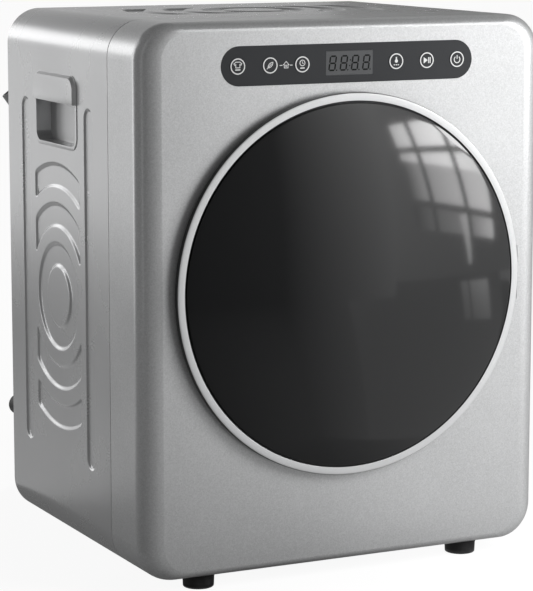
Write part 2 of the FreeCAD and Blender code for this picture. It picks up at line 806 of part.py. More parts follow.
def hinge_bracket():
    """Plate behind the front wall, with two arms that carry the hinge pin."""
    low, high = hinge_span(KNUCKLE_L)
    edge = HINGE_X + KNUCKLE_R + GAP
    plate = block(edge - BRACKET_W, edge, FRAME_WALL, FRAME_WALL + BRACKET_T, low, high)
    solids = [plate]
    for h0 in arm_heights():
        h1 = h0 + KNUCKLE_L
        solids.append(block(HINGE_X - PIN_R, HINGE_X + PIN_R, -HINGE_PROUD, FRAME_WALL, h0, h1))
        solids.append(post(KNUCKLE_R, HINGE_X, -HINGE_PROUD, h0, h1))
    bore = post(PIN_R, HINGE_X, -HINGE_PROUD, *hinge_span(0))
    return joined(solids).cut(bore)


def hinge_pin():
    return post(PIN_R, HINGE_X, -HINGE_PROUD, *hinge_span(0))


def door_hinge_leaf():
    tall = HINGE_TALL / 2 - KNUCKLE_L - GAP
    low, high = AXIS_H - tall, AXIS_H + tall
    plate = block(HINGE_X - LEAF_W, HINGE_X, leaf_front(), leaf_front() + LEAF_T, low, high)
    barrel = post(KNUCKLE_R, HINGE_X, -HINGE_PROUD, low, high)
    return plate.fuse(barrel).cut(post(PIN_R + RUN, HINGE_X, -HINGE_PROUD, low, high))


def latch_box():
    """Outer width and height of the latch, on each side of the strike."""
    return STRIKE_W / 2 + LATCH_ROOM + LATCH_WALL, STRIKE_TALL / 2 + LATCH_ROOM + LATCH_WALL


def door_latch():
    wide, tall = latch_box()
    case = block(STRIKE_X - wide, STRIKE_X + wide, FRAME_WALL, FRAME_WALL + LATCH_D,
                 AXIS_H - tall, AXIS_H + tall)
    return case.cut(latch_slot(FRAME_WALL, FRAME_WALL + LATCH_D - LATCH_ROOM))


def door_switch():
    wide, tall = latch_box()
    return block(STRIKE_X - wide, STRIKE_X + wide, FRAME_WALL + LATCH_ROOM, FRAME_WALL + LATCH_D,
                 AXIS_H + tall, AXIS_H + tall + SWITCH_TALL)


def felt_inner():
    return MOUTH_R - GAP - 2 * GLIDE_T


def front_collar():
    """Throat between the front wall and the drum's mouth, flared to carry the felt."""
    start, wall = FRAME_WALL, HUB_WALL
    flare, end = DRUM_FRONT - 2 * LIP_D, DRUM_FRONT + LIP_D
    wide = felt_inner()
    return turned([
        (OPENING_R, start), (OPENING_R + 3 * wall, start), (OPENING_R + 3 * wall, start + wall),
        (OPENING_R + wall, start + wall), (OPENING_R + wall, flare), (wide, DRUM_FRONT - LIP_D),
        (wide, end), (wide - wall, end), (wide - wall, DRUM_FRONT - LIP_D + wall),
        (OPENING_R, flare + wall),
    ])


def front_felt():
    return pipe(MOUTH_R - GAP, felt_inner(), 0, AXIS_H, DRUM_FRONT - LIP_D / 5, DRUM_FRONT + LIP_D)


def drum_shell():
    front, wall = DRUM_FRONT, DRUM_WALL
    return turned([
        (MOUTH_R, front), (DRUM_R, front), (DRUM_R, DRUM_REAR + wall), (DRUM_R - wall, DRUM_REAR + wall),
        (DRUM_R - wall, front + wall), (MOUTH_R + wall, front + wall), (MOUTH_R + wall, front + LIP_D),
        (MOUTH_R, front + LIP_D),
    ])


def drum_rear_wall():
    """Rear disc of the drum, with a rolled collar that runs on the hub's glide ring."""
    inner, outer, wall = HUB_R + GLIDE_T + GAP, DRUM_R - DRUM_WALL, DRUM_WALL
    back, front = DRUM_REAR, DRUM_REAR - wall
    return turned([
        (inner, front - DRUM_BEHIND), (inner + wall, front - DRUM_BEHIND), (inner + wall, front),
        (outer - wall, front), (outer - wall, front - LIP_D), (outer, front - LIP_D), (outer, back),
        (inner, back),
    ])


def lifter_form(inset):
    """Tapered bar along the bottom of the drum, drawn in by inset except at its base."""
    base, tip = LIFTER_BASE / 2 - inset, LIFTER_TIP / 2 - inset
    low = AXIS_H - DRUM_R
    high = low + DRUM_WALL + LIFTER_H - inset
    d0, d1 = DRUM_FRONT + LIFTER_INSET + inset, DRUM_REAR - LIFTER_INSET - inset
    profile = [spot(-base, d0, low), spot(-tip, d0, high), spot(tip, d0, high), spot(base, d0, low)]
    return Part.Face(Part.makePolygon(profile + profile[:1])).extrude(Y * (d1 - d0))


def drum_lifters():
    """Hollow paddles inside the drum, seated on its wall."""
    drum = rod(DRUM_R - DRUM_WALL, 0, AXIS_H, DRUM_FRONT, DRUM_REAR)
    paddle = lifter_form(0).common(drum).cut(lifter_form(LIFTER_T))
    paddles = []
    for number in range(LIFTERS):
        turned_paddle = paddle.copy()
        turned_paddle.rotate(spot(0, 0, AXIS_H), Y, 360 * number / LIFTERS)
        paddles.append(turned_paddle)
    return Part.makeCompound(paddles)


def rear_bulkhead():
    """Plate behind the drum: legs on the floor, a hub for the drum and the filter, a hot air window."""
    low, high = UNDER_DRUM, CAB_H - UNDER_DRUM / 3
    wide = CAB_W - UNDER_DRUM / 4
    back = BULKHEAD_D + BULKHEAD_T
    plate = front_slab(wide, high - low, CORNER_R, 0, (low + high) / 2, BULKHEAD_D, back)
    out = CAB_W / 2 - FLANGE_W + LIP
    legs = [
        block(min(side * out, side * (out + LIP)), max(side * out, side * (out + LIP)),
              BULKHEAD_D, back, SHEET, low + CORNER_R)
        for side in (-1, 1)
    ]
    hub = rod(HUB_R, 0, AXIS_H, DRUM_REAR - 2 * DRUM_BEHIND, back)
    holes = [
        rod(HUB_R - HUB_WALL, 0, AXIS_H, DRUM_REAR - 2 * DRUM_BEHIND, BULKHEAD_D),
        rod(filter_tub_r() + GAP, 0, AXIS_H, BULKHEAD_D, back),
        block(HEATER_OUT - window_w(), HEATER_OUT + window_w(), BULKHEAD_D, back,
              AXIS_H + HEATER_UP - window_h(), AXIS_H + HEATER_UP + window_h()),
    ]
    return joined([plate, hub] + legs).cut(holes)


def window_w():
    return HEATER_W / 2 - LIP


def window_h():
    return HEATER_H / 2 - LIP


def rear_glide():
    front = DRUM_REAR - DRUM_WALL - DRUM_BEHIND
    return pipe(HUB_R + GLIDE_T, HUB_R, 0, AXIS_H, front, DRUM_REAR + DRUM_WALL)


def filter_tub_r():
    return HUB_R - HUB_WALL - 3 * FILTER_RIM


def lint_filter():
    """Round cassette that plugs into the hub: a slotted face with a grip, and a tub behind it."""
    face_r = HUB_R - HUB_WALL - GAP
    back = BULKHEAD_D - GAP
    front = back - FILTER_RIM
    wall = FILTER_RIM / 2
    tub_r = filter_tub_r()
    end = back + FILTER_D
    plate = rod(face_r, 0, AXIS_H, front, back)
    tub = pipe(tub_r, tub_r - wall, 0, AXIS_H, back, end)
    knob = rod(FILTER_HUB_R, 0, AXIS_H, front - 2 * FILTER_RIM, front)
    grip = block(-FILTER_RIM, FILTER_RIM, front - 5 * FILTER_RIM, front, AXIS_H - FILTER_HUB_R / 2,
                 AXIS_H + FILTER_HUB_R / 2)
    slot = block(-FILTER_SLOT_W / 2, FILTER_SLOT_W / 2, front, back, AXIS_H + FILTER_HUB_R + FILTER_RIM,
                 AXIS_H + FILTER_HUB_R + FILTER_RIM + FILTER_SLOT_L)
    slots = []
    for number in range(FILTER_SLOTS):
        cut = slot.copy()
        cut.rotate(spot(0, 0, AXIS_H), Y, 360 * number / FILTER_SLOTS)
        slots.append(cut)
    return joined([plate, tub, knob, grip]).cut(slots)


def outlet():
    """Centre of the exhaust outlet."""
    return (SPOUT_X, SPOUT_H)


def scroll_housing():
    """Fan casing behind the bulkhead, drawn out to a round outlet that meets the rear panel."""
    front, back = BULKHEAD_D + BULKHEAD_T, SCROLL_BACK
    outlet_r = SPOUT_R + SLIP + OUTLET_WALL
    outside = loop_slab((0, AXIS_H), SCROLL_R, outlet(), outlet_r + SCROLL_T, front, back)
    hollow = loop_slab(
        (0, AXIS_H), SCROLL_R - SCROLL_T, outlet(), outlet_r, front, back - SCROLL_T
    )
    neck = rod(outlet_r, *outlet(), back - SCROLL_T, PANEL_INNER)
    holes = [
        hollow,
        rod(SPOUT_R + SLIP, *outlet(), back - SCROLL_T, PANEL_INNER),
        rod(FAN_HUB_R + SCROLL_T, 0, AXIS_H, back - SCROLL_T, back),
    ]
    return outside.fuse(neck).cut(holes)


def spout_form(r, start):
    """Bent round duct of the exhaust: a collar, a bend and a straight stub."""
    lean = math.radians(SPOUT_LEAN)
    turn = math.radians(SPOUT_TURN)
    side = Vector(-math.sin(lean), 0, math.cos(lean))
    bend = spot(SPOUT_X, CAB_D + SPOUT_COLLAR, SPOUT_H)
    centre = bend + side * SPOUT_BEND_R
    aim = Y * math.cos(turn) + side * math.sin(turn)
    end = centre - side * (SPOUT_BEND_R * math.cos(turn)) + Y * (SPOUT_BEND_R * math.sin(turn))
    disc = Part.Face(Part.Wire(Part.makeCircle(r, bend, Y)))
    elbow = disc.revolve(centre, Y.cross(side), SPOUT_TURN)
    collar = rod(r, SPOUT_X, SPOUT_H, start, CAB_D + SPOUT_COLLAR)
    stub = Part.makeCylinder(r, SPOUT_STUB, end, aim)
    return joined([collar, elbow, stub])


def exhaust_spout():
    start = CAB_D - SPIGOT
    flange = rod(SPOUT_R + SPOUT_FLANGE, SPOUT_X, SPOUT_H, CAB_D, CAB_D + SPOUT_FLANGE_T)
    return spout_form(SPOUT_R, start).fuse(flange).cut(spout_form(SPOUT_R - SPOUT_T, start))


def fan_wheel():
    """Radial fan: blades between a back disc and a front ring, on a long hub."""
    back, front = FAN_BACK, FAN_BACK - FAN_DEEP
    disc = rod(FAN_R, 0, AXIS_H, back - FAN_DISC, back)
    ring = pipe(FAN_R, FAN_R - FAN_BLADE_W / 3, 0, AXIS_H, front, front + FAN_BLADE_T)
    hub = rod(FAN_HUB_R, 0, AXIS_H, front, fan_hub_end())
    nose = rod(fan_nose_r(), 0, AXIS_H, fan_hub_end(), FAN_BELT_D + BELT_ROOM + PULLEY_RIM_T)
    blade = block(-FAN_BLADE_T / 2, FAN_BLADE_T / 2, front, back, AXIS_H + FAN_R - FAN_BLADE_W,
                  AXIS_H + FAN_R - FAN_BLADE_T)
    blades = []
    for number in range(FAN_BLADES):
        vane = blade.copy()
        vane.rotate(spot(0, 0, AXIS_H), Y, 360 * number / FAN_BLADES)
        blades.append(vane)
    bore = rod(AXLE_R + RUN, 0, AXIS_H, front, PANEL_INNER)
    return joined([disc, ring, hub, nose] + blades).cut(bore)


def fan_hub_end():
    return FAN_BELT_D - PULLEY_RIM_T


def fan_nose_r():
    return (FAN_HUB_R + AXLE_R) / 2


def pulley(r, bore_r, x, h, d):
    """Flanged belt pulley whose first flange starts at depth d."""
    rim, room = PULLEY_RIM_T, BELT_ROOM
    end = d + PULLEY_W
    return turned([
        (bore_r, d), (r + PULLEY_RIM, d), (r + PULLEY_RIM, d + rim), (r, d + rim), (r, d + rim + room),
        (r + PULLEY_RIM, d + rim + room), (r + PULLEY_RIM, end), (bore_r, end),
    ], x, h)


def fan_pulley():
    return pulley(FAN_PULLEY_R, fan_nose_r(), 0, AXIS_H, fan_hub_end())


def fan_axle():
    """Fixed axle of the fan, bolted to the rear panel."""
    flange = rod(AXLE_FLANGE_R, 0, AXIS_H, PANEL_INNER - AXLE_FLANGE_T, PANEL_INNER)
    return flange.fuse(rod(AXLE_R, 0, AXIS_H, FAN_BACK - FAN_DEEP, PANEL_INNER - AXLE_FLANGE_T))


def heater_housing():
    """Hot air box on the back of the bulkhead, open to its window and to the louvres."""
    front, back = BULKHEAD_D + BULKHEAD_T, BULKHEAD_D + BULKHEAD_T + HEATER_D
    wide, tall, mid = HEATER_W / 2, HEATER_H / 2, AXIS_H + HEATER_UP
    case = block(HEATER_OUT - wide, HEATER_OUT + wide, front, back, mid - tall, mid + tall)
    inner_w, inner_h = wide - HEATER_T, tall - HEATER_T
    hollow = block(HEATER_OUT - inner_w, HEATER_OUT + inner_w, front, back - HEATER_T,
                   mid - inner_h, mid + inner_h)
    inlet = block(HEATER_OUT - window_w(), HEATER_OUT + window_w(), back - HEATER_T, back,
                  mid - window_h(), mid + window_h())
    return case.cut([hollow, inlet])


def heater_element():
    """Ceramic heater: upright fins between two rails that fill the box from side to side."""
    middle = BULKHEAD_D + BULKHEAD_T + HEATER_D / 2
    wide, tall, mid = HEATER_W / 2 - HEATER_T, HEATER_H / 2 - HEATER_T, AXIS_H + HEATER_UP
    half = HEATER_D / 5
    rails = []
    for end in (mid - tall, mid + tall - 2 * HEATER_FIN_T):
        rails.append(block(HEATER_OUT - wide, HEATER_OUT + wide, middle - half, middle + half,
                           end, end + 2 * HEATER_FIN_T))
    pitch = (2 * wide - HEATER_FIN_T) / (HEATER_FINS - 1)
    fins = []
    for number in range(HEATER_FINS):
        x = HEATER_OUT - wide + number * pitch
        fins.append(block(x, x + HEATER_FIN_T, middle - half, middle + half, mid - tall, mid + tall))
    return joined(rails + fins)


def thermal_cutouts():
    """Two round thermostats on top of the heater box."""
    top = AXIS_H + HEATER_UP + HEATER_H / 2
    middle = BULKHEAD_D + BULKHEAD_T + HEATER_D / 2
    places = [HEATER_OUT + side * HEATER_W / 4 for side in (-1, 1)]
    return Part.makeCompound([post(CUTOUT_R, x, middle, top, top + CUTOUT_T) for x in places])


def motor_case():
    bell = MOTOR_R - MOTOR_BELL / 2
    bore, end = SHAFT_R + RUN, MOTOR_D + MOTOR_L
    return turned([
        (bore, MOTOR_D), (bell, MOTOR_D), (MOTOR_R, MOTOR_D + MOTOR_BELL),
        (MOTOR_R, end - MOTOR_BELL), (bell, end), (bore, end),
    ], MOTOR_X, MOTOR_H)


def motor_cradle():
    """Saddle that stands on the floor sheet and holds the motor."""
    d0 = MOTOR_D + (MOTOR_L - CRADLE_L) / 2
    floor = 2 * SHEET
    lap = CAB_W / 2 - FLANGE_W - LIP
    saddle = block(MOTOR_X - CRADLE_W / 2, lap, d0, d0 + CRADLE_L, SHEET, MOTOR_H)
    beside = block(lap, MOTOR_X + CRADLE_W / 2, d0, d0 + CRADLE_L, floor, MOTOR_H)
    hollow = rod(MOTOR_R, MOTOR_X, MOTOR_H, d0, d0 + CRADLE_L)
    return saddle.fuse(beside).cut(hollow)


def motor_shaft():
    start = DRUM_BELT_D - PULLEY_W / 2
    return rod(SHAFT_R, MOTOR_X, MOTOR_H, start, FAN_BELT_D + BELT_ROOM + PULLEY_RIM_T)


def drum_drive_pulley():
    return pulley(DRUM_PULLEY_R, SHAFT_R, MOTOR_X, MOTOR_H, DRUM_BELT_D - PULLEY_W / 2)


def fan_drive_pulley():
    return pulley(MOTOR_FAN_PULLEY_R, SHAFT_R, MOTOR_X, MOTOR_H, fan_hub_end())


def belt(r1, r2, d):
    """Flat belt round the drum's axis and the motor's, just off both of its pulleys."""
    ends = (0, AXIS_H), (MOTOR_X, MOTOR_H)
    inner = loop_slab(ends[0], r1 + GAP, ends[1], r2 + GAP, d, d + BELT_W)
    outer = loop_slab(ends[0], r1 + GAP + BELT_T, ends[1], r2 + GAP + BELT_T, d, d + BELT_W)
    return outer.cut(inner)


def drum_belt():
    return belt(DRUM_R, DRUM_PULLEY_R, DRUM_BELT_D - BELT_W / 2)


def fan_belt():
    return belt(FAN_PULLEY_R, MOTOR_FAN_PULLEY_R, FAN_BELT_D + BELT_SIDE)


def motor_capacitor():
    d0 = MOTOR_D
    return rod(CAPACITOR_R, -FOOT_X + CAPACITOR_R, SHEET + CAPACITOR_R, d0, d0 + CAPACITOR_L)


FOOT_NAMES = {
    "front_left_foot": (-FOOT_X, FOOT_DEPTHS[0]),
    "front_right_foot": (FOOT_X, FOOT_DEPTHS[0]),
    "rear_left_foot": (-FOOT_X, FOOT_DEPTHS[1]),
    "rear_right_foot": (FOOT_X, FOOT_DEPTHS[1]),
}
KEY_NAMES = ("key_program", "key_eco", "key_time", "key_heat", "key_start", "key_power")
PIECES = (
    cabinet_wrap, front_frame, base_pan, rear_panel, left_grip, foot_screws, mains_gland, rear_spacers,
    panel_screws, control_fascia, display_window, display_module, control_board, door_ring, door_dome,
    door_body, door_bowl, door_seal, door_screws, door_strike, hinge_bracket, hinge_pin,
    door_hinge_leaf, door_latch, door_switch, front_collar, front_felt, drum_shell, drum_rear_wall,
    drum_lifters, rear_bulkhead, rear_glide, lint_filter, scroll_housing, exhaust_spout, fan_wheel,
    fan_pulley, fan_axle, heater_housing, heater_element, thermal_cutouts, motor_case, motor_cradle,
    motor_shaft, drum_drive_pulley, fan_drive_pulley, drum_belt, fan_belt, motor_capacitor,
)


def main():
    shapes = {make.__name__: make() for make in PIECES}
    shapes["right_grip"] = mirrored(shapes["left_grip"])
    for name, (x, d) in FOOT_NAMES.items():
        shapes[name] = foot(x, d)
    for name, x in zip(KEY_NAMES, key_places()):
        shapes[name] = key(x)
    os.makedirs("parts", exist_ok=True)
    for name, shape in shapes.items():
        shape.exportStep(f"parts/{name}.step")


main()
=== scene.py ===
import json
import math

import bmesh
import bpy
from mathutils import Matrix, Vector, noise


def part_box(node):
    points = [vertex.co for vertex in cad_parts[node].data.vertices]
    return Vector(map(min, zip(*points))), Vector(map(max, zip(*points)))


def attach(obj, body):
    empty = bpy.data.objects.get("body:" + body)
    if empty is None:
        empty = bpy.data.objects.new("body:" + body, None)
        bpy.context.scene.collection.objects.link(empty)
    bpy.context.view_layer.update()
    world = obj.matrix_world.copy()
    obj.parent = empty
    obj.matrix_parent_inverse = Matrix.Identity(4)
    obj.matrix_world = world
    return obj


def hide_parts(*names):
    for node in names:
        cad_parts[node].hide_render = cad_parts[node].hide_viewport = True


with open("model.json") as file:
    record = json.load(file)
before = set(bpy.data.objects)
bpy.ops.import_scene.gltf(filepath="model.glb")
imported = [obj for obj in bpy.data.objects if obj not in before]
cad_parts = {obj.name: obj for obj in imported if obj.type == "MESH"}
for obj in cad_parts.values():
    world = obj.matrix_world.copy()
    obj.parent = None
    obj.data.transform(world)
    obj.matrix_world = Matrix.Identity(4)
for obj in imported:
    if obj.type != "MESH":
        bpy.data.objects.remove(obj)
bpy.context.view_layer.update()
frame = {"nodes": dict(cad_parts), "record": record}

NODES = frame["nodes"]
MM = 0.001


def box_mm(node):
    low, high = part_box(node)
    return low / MM, high / MM


# Places in millimetres, read from the solids
FRAME_LOW, FRAME_HIGH = box_mm("front_frame")
WRAP_LOW, WRAP_HIGH = box_mm("cabinet_wrap")
RING_LOW, RING_HIGH = box_mm("door_ring")
DOME_LOW, DOME_HIGH = box_mm("door_dome")
PANEL_LOW, PANEL_HIGH = box_mm("control_fascia")
FACE_Y = FRAME_LOW.y
AXIS_Z = (RING_LOW.z + RING_HIGH.z) / 2
PANEL_Z = (PANEL_LOW.z + PANEL_HIGH.z) / 2
CAB_W = 2 * FRAME_HIGH.x
CAB_LOW, CAB_TOP = WRAP_LOW.z, WRAP_HIGH.z
WRAP_FRONT, WRAP_REAR = WRAP_LOW.y, WRAP_HIGH.y
RING_R, DOME_R = RING_HIGH.x, DOME_HIGH.x
GRIP_LOW, GRIP_HIGH = box_mm("left_grip")
GRIP_Y, GRIP_Z = (GRIP_LOW.y + GRIP_HIGH.y) / 2, (GRIP_LOW.z + GRIP_HIGH.z) / 2

# Sizes of the cabinet's sheet, in millimetres
CORNER_R = 40.0
SHEET = 0.8
FLANGE_W = 62.0
MARGIN = 1.0
GRIP_RIM = 2.0
GRIP_R = 16.0
GROOVE = 2.2
GROOVE_WALL = 4.8
GROOVE_STEPS = 8
BANDS = ((34.0, 60.8), (79.0, 105.8), (124.0, 150.8))
BAND_CLIP = 67.0
BAND_DROP = 18.5
FLUTE_OUT, FLUTE_W, FLUTE_END = 94.0, 25.0, 98.0
FLUTE_WALL = 3.4
SOFT_CORNER = 6.0
SEAM_ROLL = ((0.0, 0.9), (0.15, 0.5), (0.5, 0.2), (1.0, 0.04), (1.6, 0.0))
GRIP_EDGE, GRIP_EDGE_STEPS = 1.0, 3

# Sizes of the door's front, in millimetres
DOOR_STEPS = 192
RING_SHOWN = 8.8
RING_INNER = RING_R - RING_SHOWN
RING_EDGE, RING_NICK, RING_WALL = 2.0, 0.4, 2.2
# Past the edge of the pale face, the ring's walls and the skirt reaching back are painted near-black as shade
RIM_EDGE = 0.5
RIM_BLUR = 0.2
RIM_SKIRT = 1.5
DOME_GAP = 2.2
DOME_ROLL = 1.2
DOME_WALL = 3.0
DOME_EDGE = RING_INNER - DOME_GAP

# Sizes of the door's seal, of the felt at the mouth and of the feet, in millimetres
SEAL_W, SEAL_NICK, SEAL_STEPS = 8.0, 0.6, 128
LIP_INSET, LIP_LESS, LIP_STEPS = 0.8, 2.6, 8
FELT_W, FELT_SOFT, FELT_STEPS = 3.4, 1.2, 360
FELT_PILE, FELT_TUFTS = 0.12, 0.9
FOOT_BORE, FOOT_RECESS, FOOT_STEPS = 4.2, 8.2, 72
FOOT_SOFT, FOOT_TAPER = 1.6, 1.0
FOOT_NICK, FOOT_LEDGE = 0.4, 0.5

# Shares of the seal's depth and of a foot's height
SEAL_BACK, SEAL_SIDE = 0.9, 0.5
LIP_FOOT, LIP_SWELL = 0.4, 0.6
FOOT_FLANGE = 0.78

# Sizes of the drum's holes and of the rear panel's louvres, in millimetres
DRUM_WALL = 0.8
HOLE_R = 2.2
HOLE_SIDES = 10
HOLE_PROUD = 0.1
HOLE_START = 34.0
HOLES_AROUND = 48
HOLE_ROWS = 9
REAR_HOLE_EDGE = 14.0
REAR_HOLE_INNER = 104.0
REAR_HOLES = 25
LOUVRES = 6
LOUVRE_PITCH = 10.0
LOUVRE_X, LOUVRE_Z = 142.0, 456.0
LOUVRE_W = 76.0
LOUVRE_T = 0.5
LOUVRE_END = 6.0
LOUVRE_PROUD = 3.6
LOUVRE_H = 4.6
LOUVRE_RISE = 5.4

# Screw heads, in shares of their radius and height: outline, cross, and the cross at its edge and its floor
SCREW_OUTLINE = ((1.0, 0.0), (1.0, 0.35), (0.94, 0.72), (0.8, 0.94), (0.66, 1.0))
CROSS_ARM, CROSS_SLOT = 0.55, 0.12
CROSS_RINGS = ((1.0, 1.0), (0.8, 0.4))
SCREW_SEED = 7

# Angles in degrees past which an edge stays sharp or is rounded, and below which two faces are one
SHARP, SMALL_SHARP, HOOD_SHARP, FELT_SHARP = 30.0, 40.0, 50.0, 60.0
ROUND_PAST = 35.0
FLAT_BELOW = 1.0

# Distance in millimetres within which points are merged
WELD = 0.001

# Flakes in the silver paint, in cells per metre
FLAKE_SCALE = 800.0

# Sizes of the prints, in millimetres
INK = 0.08
SIGN_HAIR, SIGN_FINE, SIGN_LINE, SIGN_BOLD, SIGN_BAR, SIGN_DASH = 0.6, 0.7, 0.8, 1.0, 1.1, 1.2
KEY_PRINT_R, KEY_PRINT_W = 7.9, 1.2
DIGIT_W, DIGIT_H, DIGIT_BAR, DIGIT_GAP = 7.0, 15.0, 1.7, 0.3
DIGIT_PITCH = 13.6
DIGIT_SLANT = 0.14
POINT_R, POINT_OFF = DIGIT_BAR * 0.45, 2.2
COLON_X, COLON_Z = 0.6, 3.0

# Camera, fitted to the edges in the photograph
CAMERA_AIM = Vector((-0.00383, -0.02237, 0.28583))
CAMERA_AZIMUTH = -26.29
CAMERA_ELEVATION = 9.17
CAMERA_DISTANCE = 2.8875
CAMERA_LENS = 152.08

# Light: radiances, and sizes in metres
SKY_LIGHT = 0.35
FLOOR_HALF = 30.0
FLOOR_GLOW = 1.08
FLOOR_SHARE = 0.85
KEY_PLACE = Vector((0.45, -0.80, 0.53))
KEY_SIZE = 0.5
KEY_RADIANCE = 10.2
# Lamps behind: azimuth, elevation, distance, width, height and radiance
REAR_LAMPS = {"rear_strip": (-131, 4, 2.2, 0.10, 2.0, 6.0), "rear_left": (-156, 16, 2.6, 1.0, 0.6, 1.7)}

# Window that the dome mirrors: place and lean of each upright, height and slope of each rail, which rails
# are bars, the radiances along each row of panes, and a glint below the panes
WINDOW_AZIMUTH, WINDOW_ELEVATION, WINDOW_DISTANCE = 50.0, 11.0, 2.2
WINDOW_BAR = 0.05
WINDOW_UPRIGHTS = ((-0.347, -0.08), (-0.14, -0.12), (0.225, -0.16), (0.53, -0.10))
WINDOW_RAILS = ((0.515, -0.14), (0.275, -0.20), (0.15, -0.30), (-0.17, -0.26), (-0.37, -0.20))
WINDOW_BARRED = (False, True, False, True, False)
WINDOW_GLOW = (
    (8.0, 11.0, 14.0, 14.0),
    (6.0, 10.0, 12.0, 9.0),
    (1.2, 4.5, 6.5, 7.5),
    (0.9, 1.8, 2.6, 6.0),
)
WINDOW_GLINT = ((0.26, -0.64), (0.30, -0.64), (0.245, -0.255), (0.16, -0.255))
GLINT_GLOW = (3.4, 3.4, 6.0, 4.4)
GLINT_NEARER = 0.01

# Grey cards that stand round the part: two azimuths, distance, low and high edge, and the shades of the
# corners as radiances, round from the first azimuth's low end
CARD_TOP = 2.4
WALL_CARDS = {
    "left_card": (-118, -72, 1.9, 0.0, CARD_TOP, (0.16, 0.12, 0.12, 0.16)),
    "left_gap": (-72, -67, 1.9, 0.0, CARD_TOP, (0.03, 0.03, 0.03, 0.03)),
    "left_stripe": (-67, -60, 1.9, 0.0, CARD_TOP, (0.45, 0.45, 0.45, 0.45)),
    "front_dark": (-60, -20, 1.9, 0.0, CARD_TOP, (0.03, 0.05, 0.05, 0.03)),
    "front_card": (-20, 5, 1.9, 0.0, CARD_TOP, (0.05, 0.09, 0.22, 0.05)),
    "front_edge_card": (5, 32, 1.9, 0.0, CARD_TOP, (0.09, 0.95, 2.4, 0.25)),
    "window_wall": (31, 82, 2.9, 0.0, 2.8, (1.0, 0.5, 0.6, 2.2)),
    "right_card": (82, 150, 2.2, 0.0, CARD_TOP, (0.06, 0.10, 0.55, 0.10)),
    "rear_card": (150, 204, 2.8, 0.2, CARD_TOP, (0.7, 1.1, 0.25, 0.3)),
}

# Grey cards on the floor: two azimuths, near and far edge, height, and the shades of the corners, round from
# the first azimuth's near end
ON_FLOOR, RAISED = 0.002, 0.004
FLOOR_CARDS = {
    "left_floor": (-118, -66, 0.42, 1.9, ON_FLOOR, (0.22, 0.06, 0.10, 0.16)),
    "left_front_floor": (-66, -30, 0.05, 1.9, ON_FLOOR, (0.06, 0.08, 0.06, 0.05)),
    "front_left_floor": (-30, -20, 0.05, 1.9, ON_FLOOR, (0.08, 0.14, 0.05, 0.05)),
    "front_floor": (-20, 5, 0.05, 1.9, ON_FLOOR, (0.14, 0.32, 0.09, 0.05)),
    "front_right_floor": (5, 20, 0.05, 1.9, ON_FLOOR, (0.32, 0.52, 0.56, 0.09)),
    "right_floor": (20, 62, 0.05, 2.8, ON_FLOOR, (0.54, 0.62, 0.60, 0.80)),
    "floor_glint": (50, 52, 1.25, 2.3, RAISED, (0.9, 0.95, 1.6, 1.4)),
    "wide_glint": (52.6, 58, 1.25, 2.3, RAISED, (0.95, 1.2, 2.3, 1.8)),
    "far_right_floor": (62, 120, 0.05, 2.2, ON_FLOOR, (0.30, 0.10, 0.10, 0.5)),
    "right_rear_floor": (120, 160, 0.05, 2.4, ON_FLOOR, (0.10, 0.20, 0.30, 0.10)),
    "rear_floor": (-165, -118, 0.42, 1.9, ON_FLOOR, (0.58, 0.46, 0.18, 0.22)),
    "rear_mid_floor": (-165, -118, 1.9, 2.9, ON_FLOOR, (0.22, 0.18, 0.38, 0.42)),
    "rear_far_floor": (-165, -118, 2.9, 3.8, ON_FLOOR, (0.42, 0.38, 1.8, 2.2)),
    "back_floor": (-200, -165, 0.42, 1.9, ON_FLOOR, (0.50, 0.50, 0.24, 0.24)),
    "back_far_floor": (-200, -165, 1.9, 3.8, ON_FLOOR, (0.24, 0.24, 1.7, 1.5)),
}
FIRST_AZIMUTH = -200
CEILING_Z, CEILING_R, CEILING_TURN = 2.45, 3.2, 60
CEILING_SHADES = (0.10, 0.10, 0.12, 0.12)

# Floor close to the part: two azimuths, the shade under the part, and the shades of the two far corners
INNER_NEAR, INNER_FAR = 0.05, 0.42
INNER_FLOOR = (
    (-200, -165, 0.12, 0.18, 0.18), (-165, -118, 0.12, 0.18, 0.18), (-118, -66, 0.12, 0.18, 0.18),
    (-66, -30, 0.08, 0.18, 0.12), (-30, 5, 0.05, 0.12, 0.25), (5, 35, 0.05, 0.25, 0.50),
    (35, 62, 0.08, 0.50, 0.60),
)


def direction(azimuth, elevation):
    """Unit vector towards an azimuth to the right of the front and an elevation, in degrees."""
    a, e = math.radians(azimuth), math.radians(elevation)
    return Vector((math.sin(a) * math.cos(e), -math.cos(a) * math.cos(e), math.sin(e)))


def look_along(thing, aim):
    thing.rotation_euler = aim.to_track_quat("-Z", "Y").to_euler()


def add(name, data):
    thing = bpy.data.objects.new(name, data)
    bpy.context.scene.collection.objects.link(thing)
    return thing


def make_camera():
    back = direction(CAMERA_AZIMUTH, CAMERA_ELEVATION)
    lens = bpy.data.cameras.new("camera")
    lens.lens = CAMERA_LENS
    camera = add("camera", lens)
    camera.location = CAMERA_AIM + back * CAMERA_DISTANCE
    look_along(camera, -back)
    bpy.context.scene.camera = camera


class Value:
    """A socket in a node tree. Arithmetic on it adds Math nodes."""

    def __init__(self, nodes, socket):
        self.nodes = nodes
        self.socket = socket

    def __add__(self, other):
        return self.nodes.maths("ADD", self, other)

    def __sub__(self, other):
        return self.nodes.maths("SUBTRACT", self, other)

    def __rsub__(self, other):
        return self.nodes.maths("SUBTRACT", other, self)

    def __mul__(self, other):
        return self.nodes.maths("MULTIPLY", self, other)

    __radd__ = __add__
    __rmul__ = __mul__

    def between(self, low, high):
        """Smooth step from 0 at low to 1 at high."""
        ends = {"Value": self, "From Min": low, "From Max": high}
        return self.nodes.node("ShaderNodeMapRange", {"interpolation_type": "SMOOTHSTEP"}, ends)


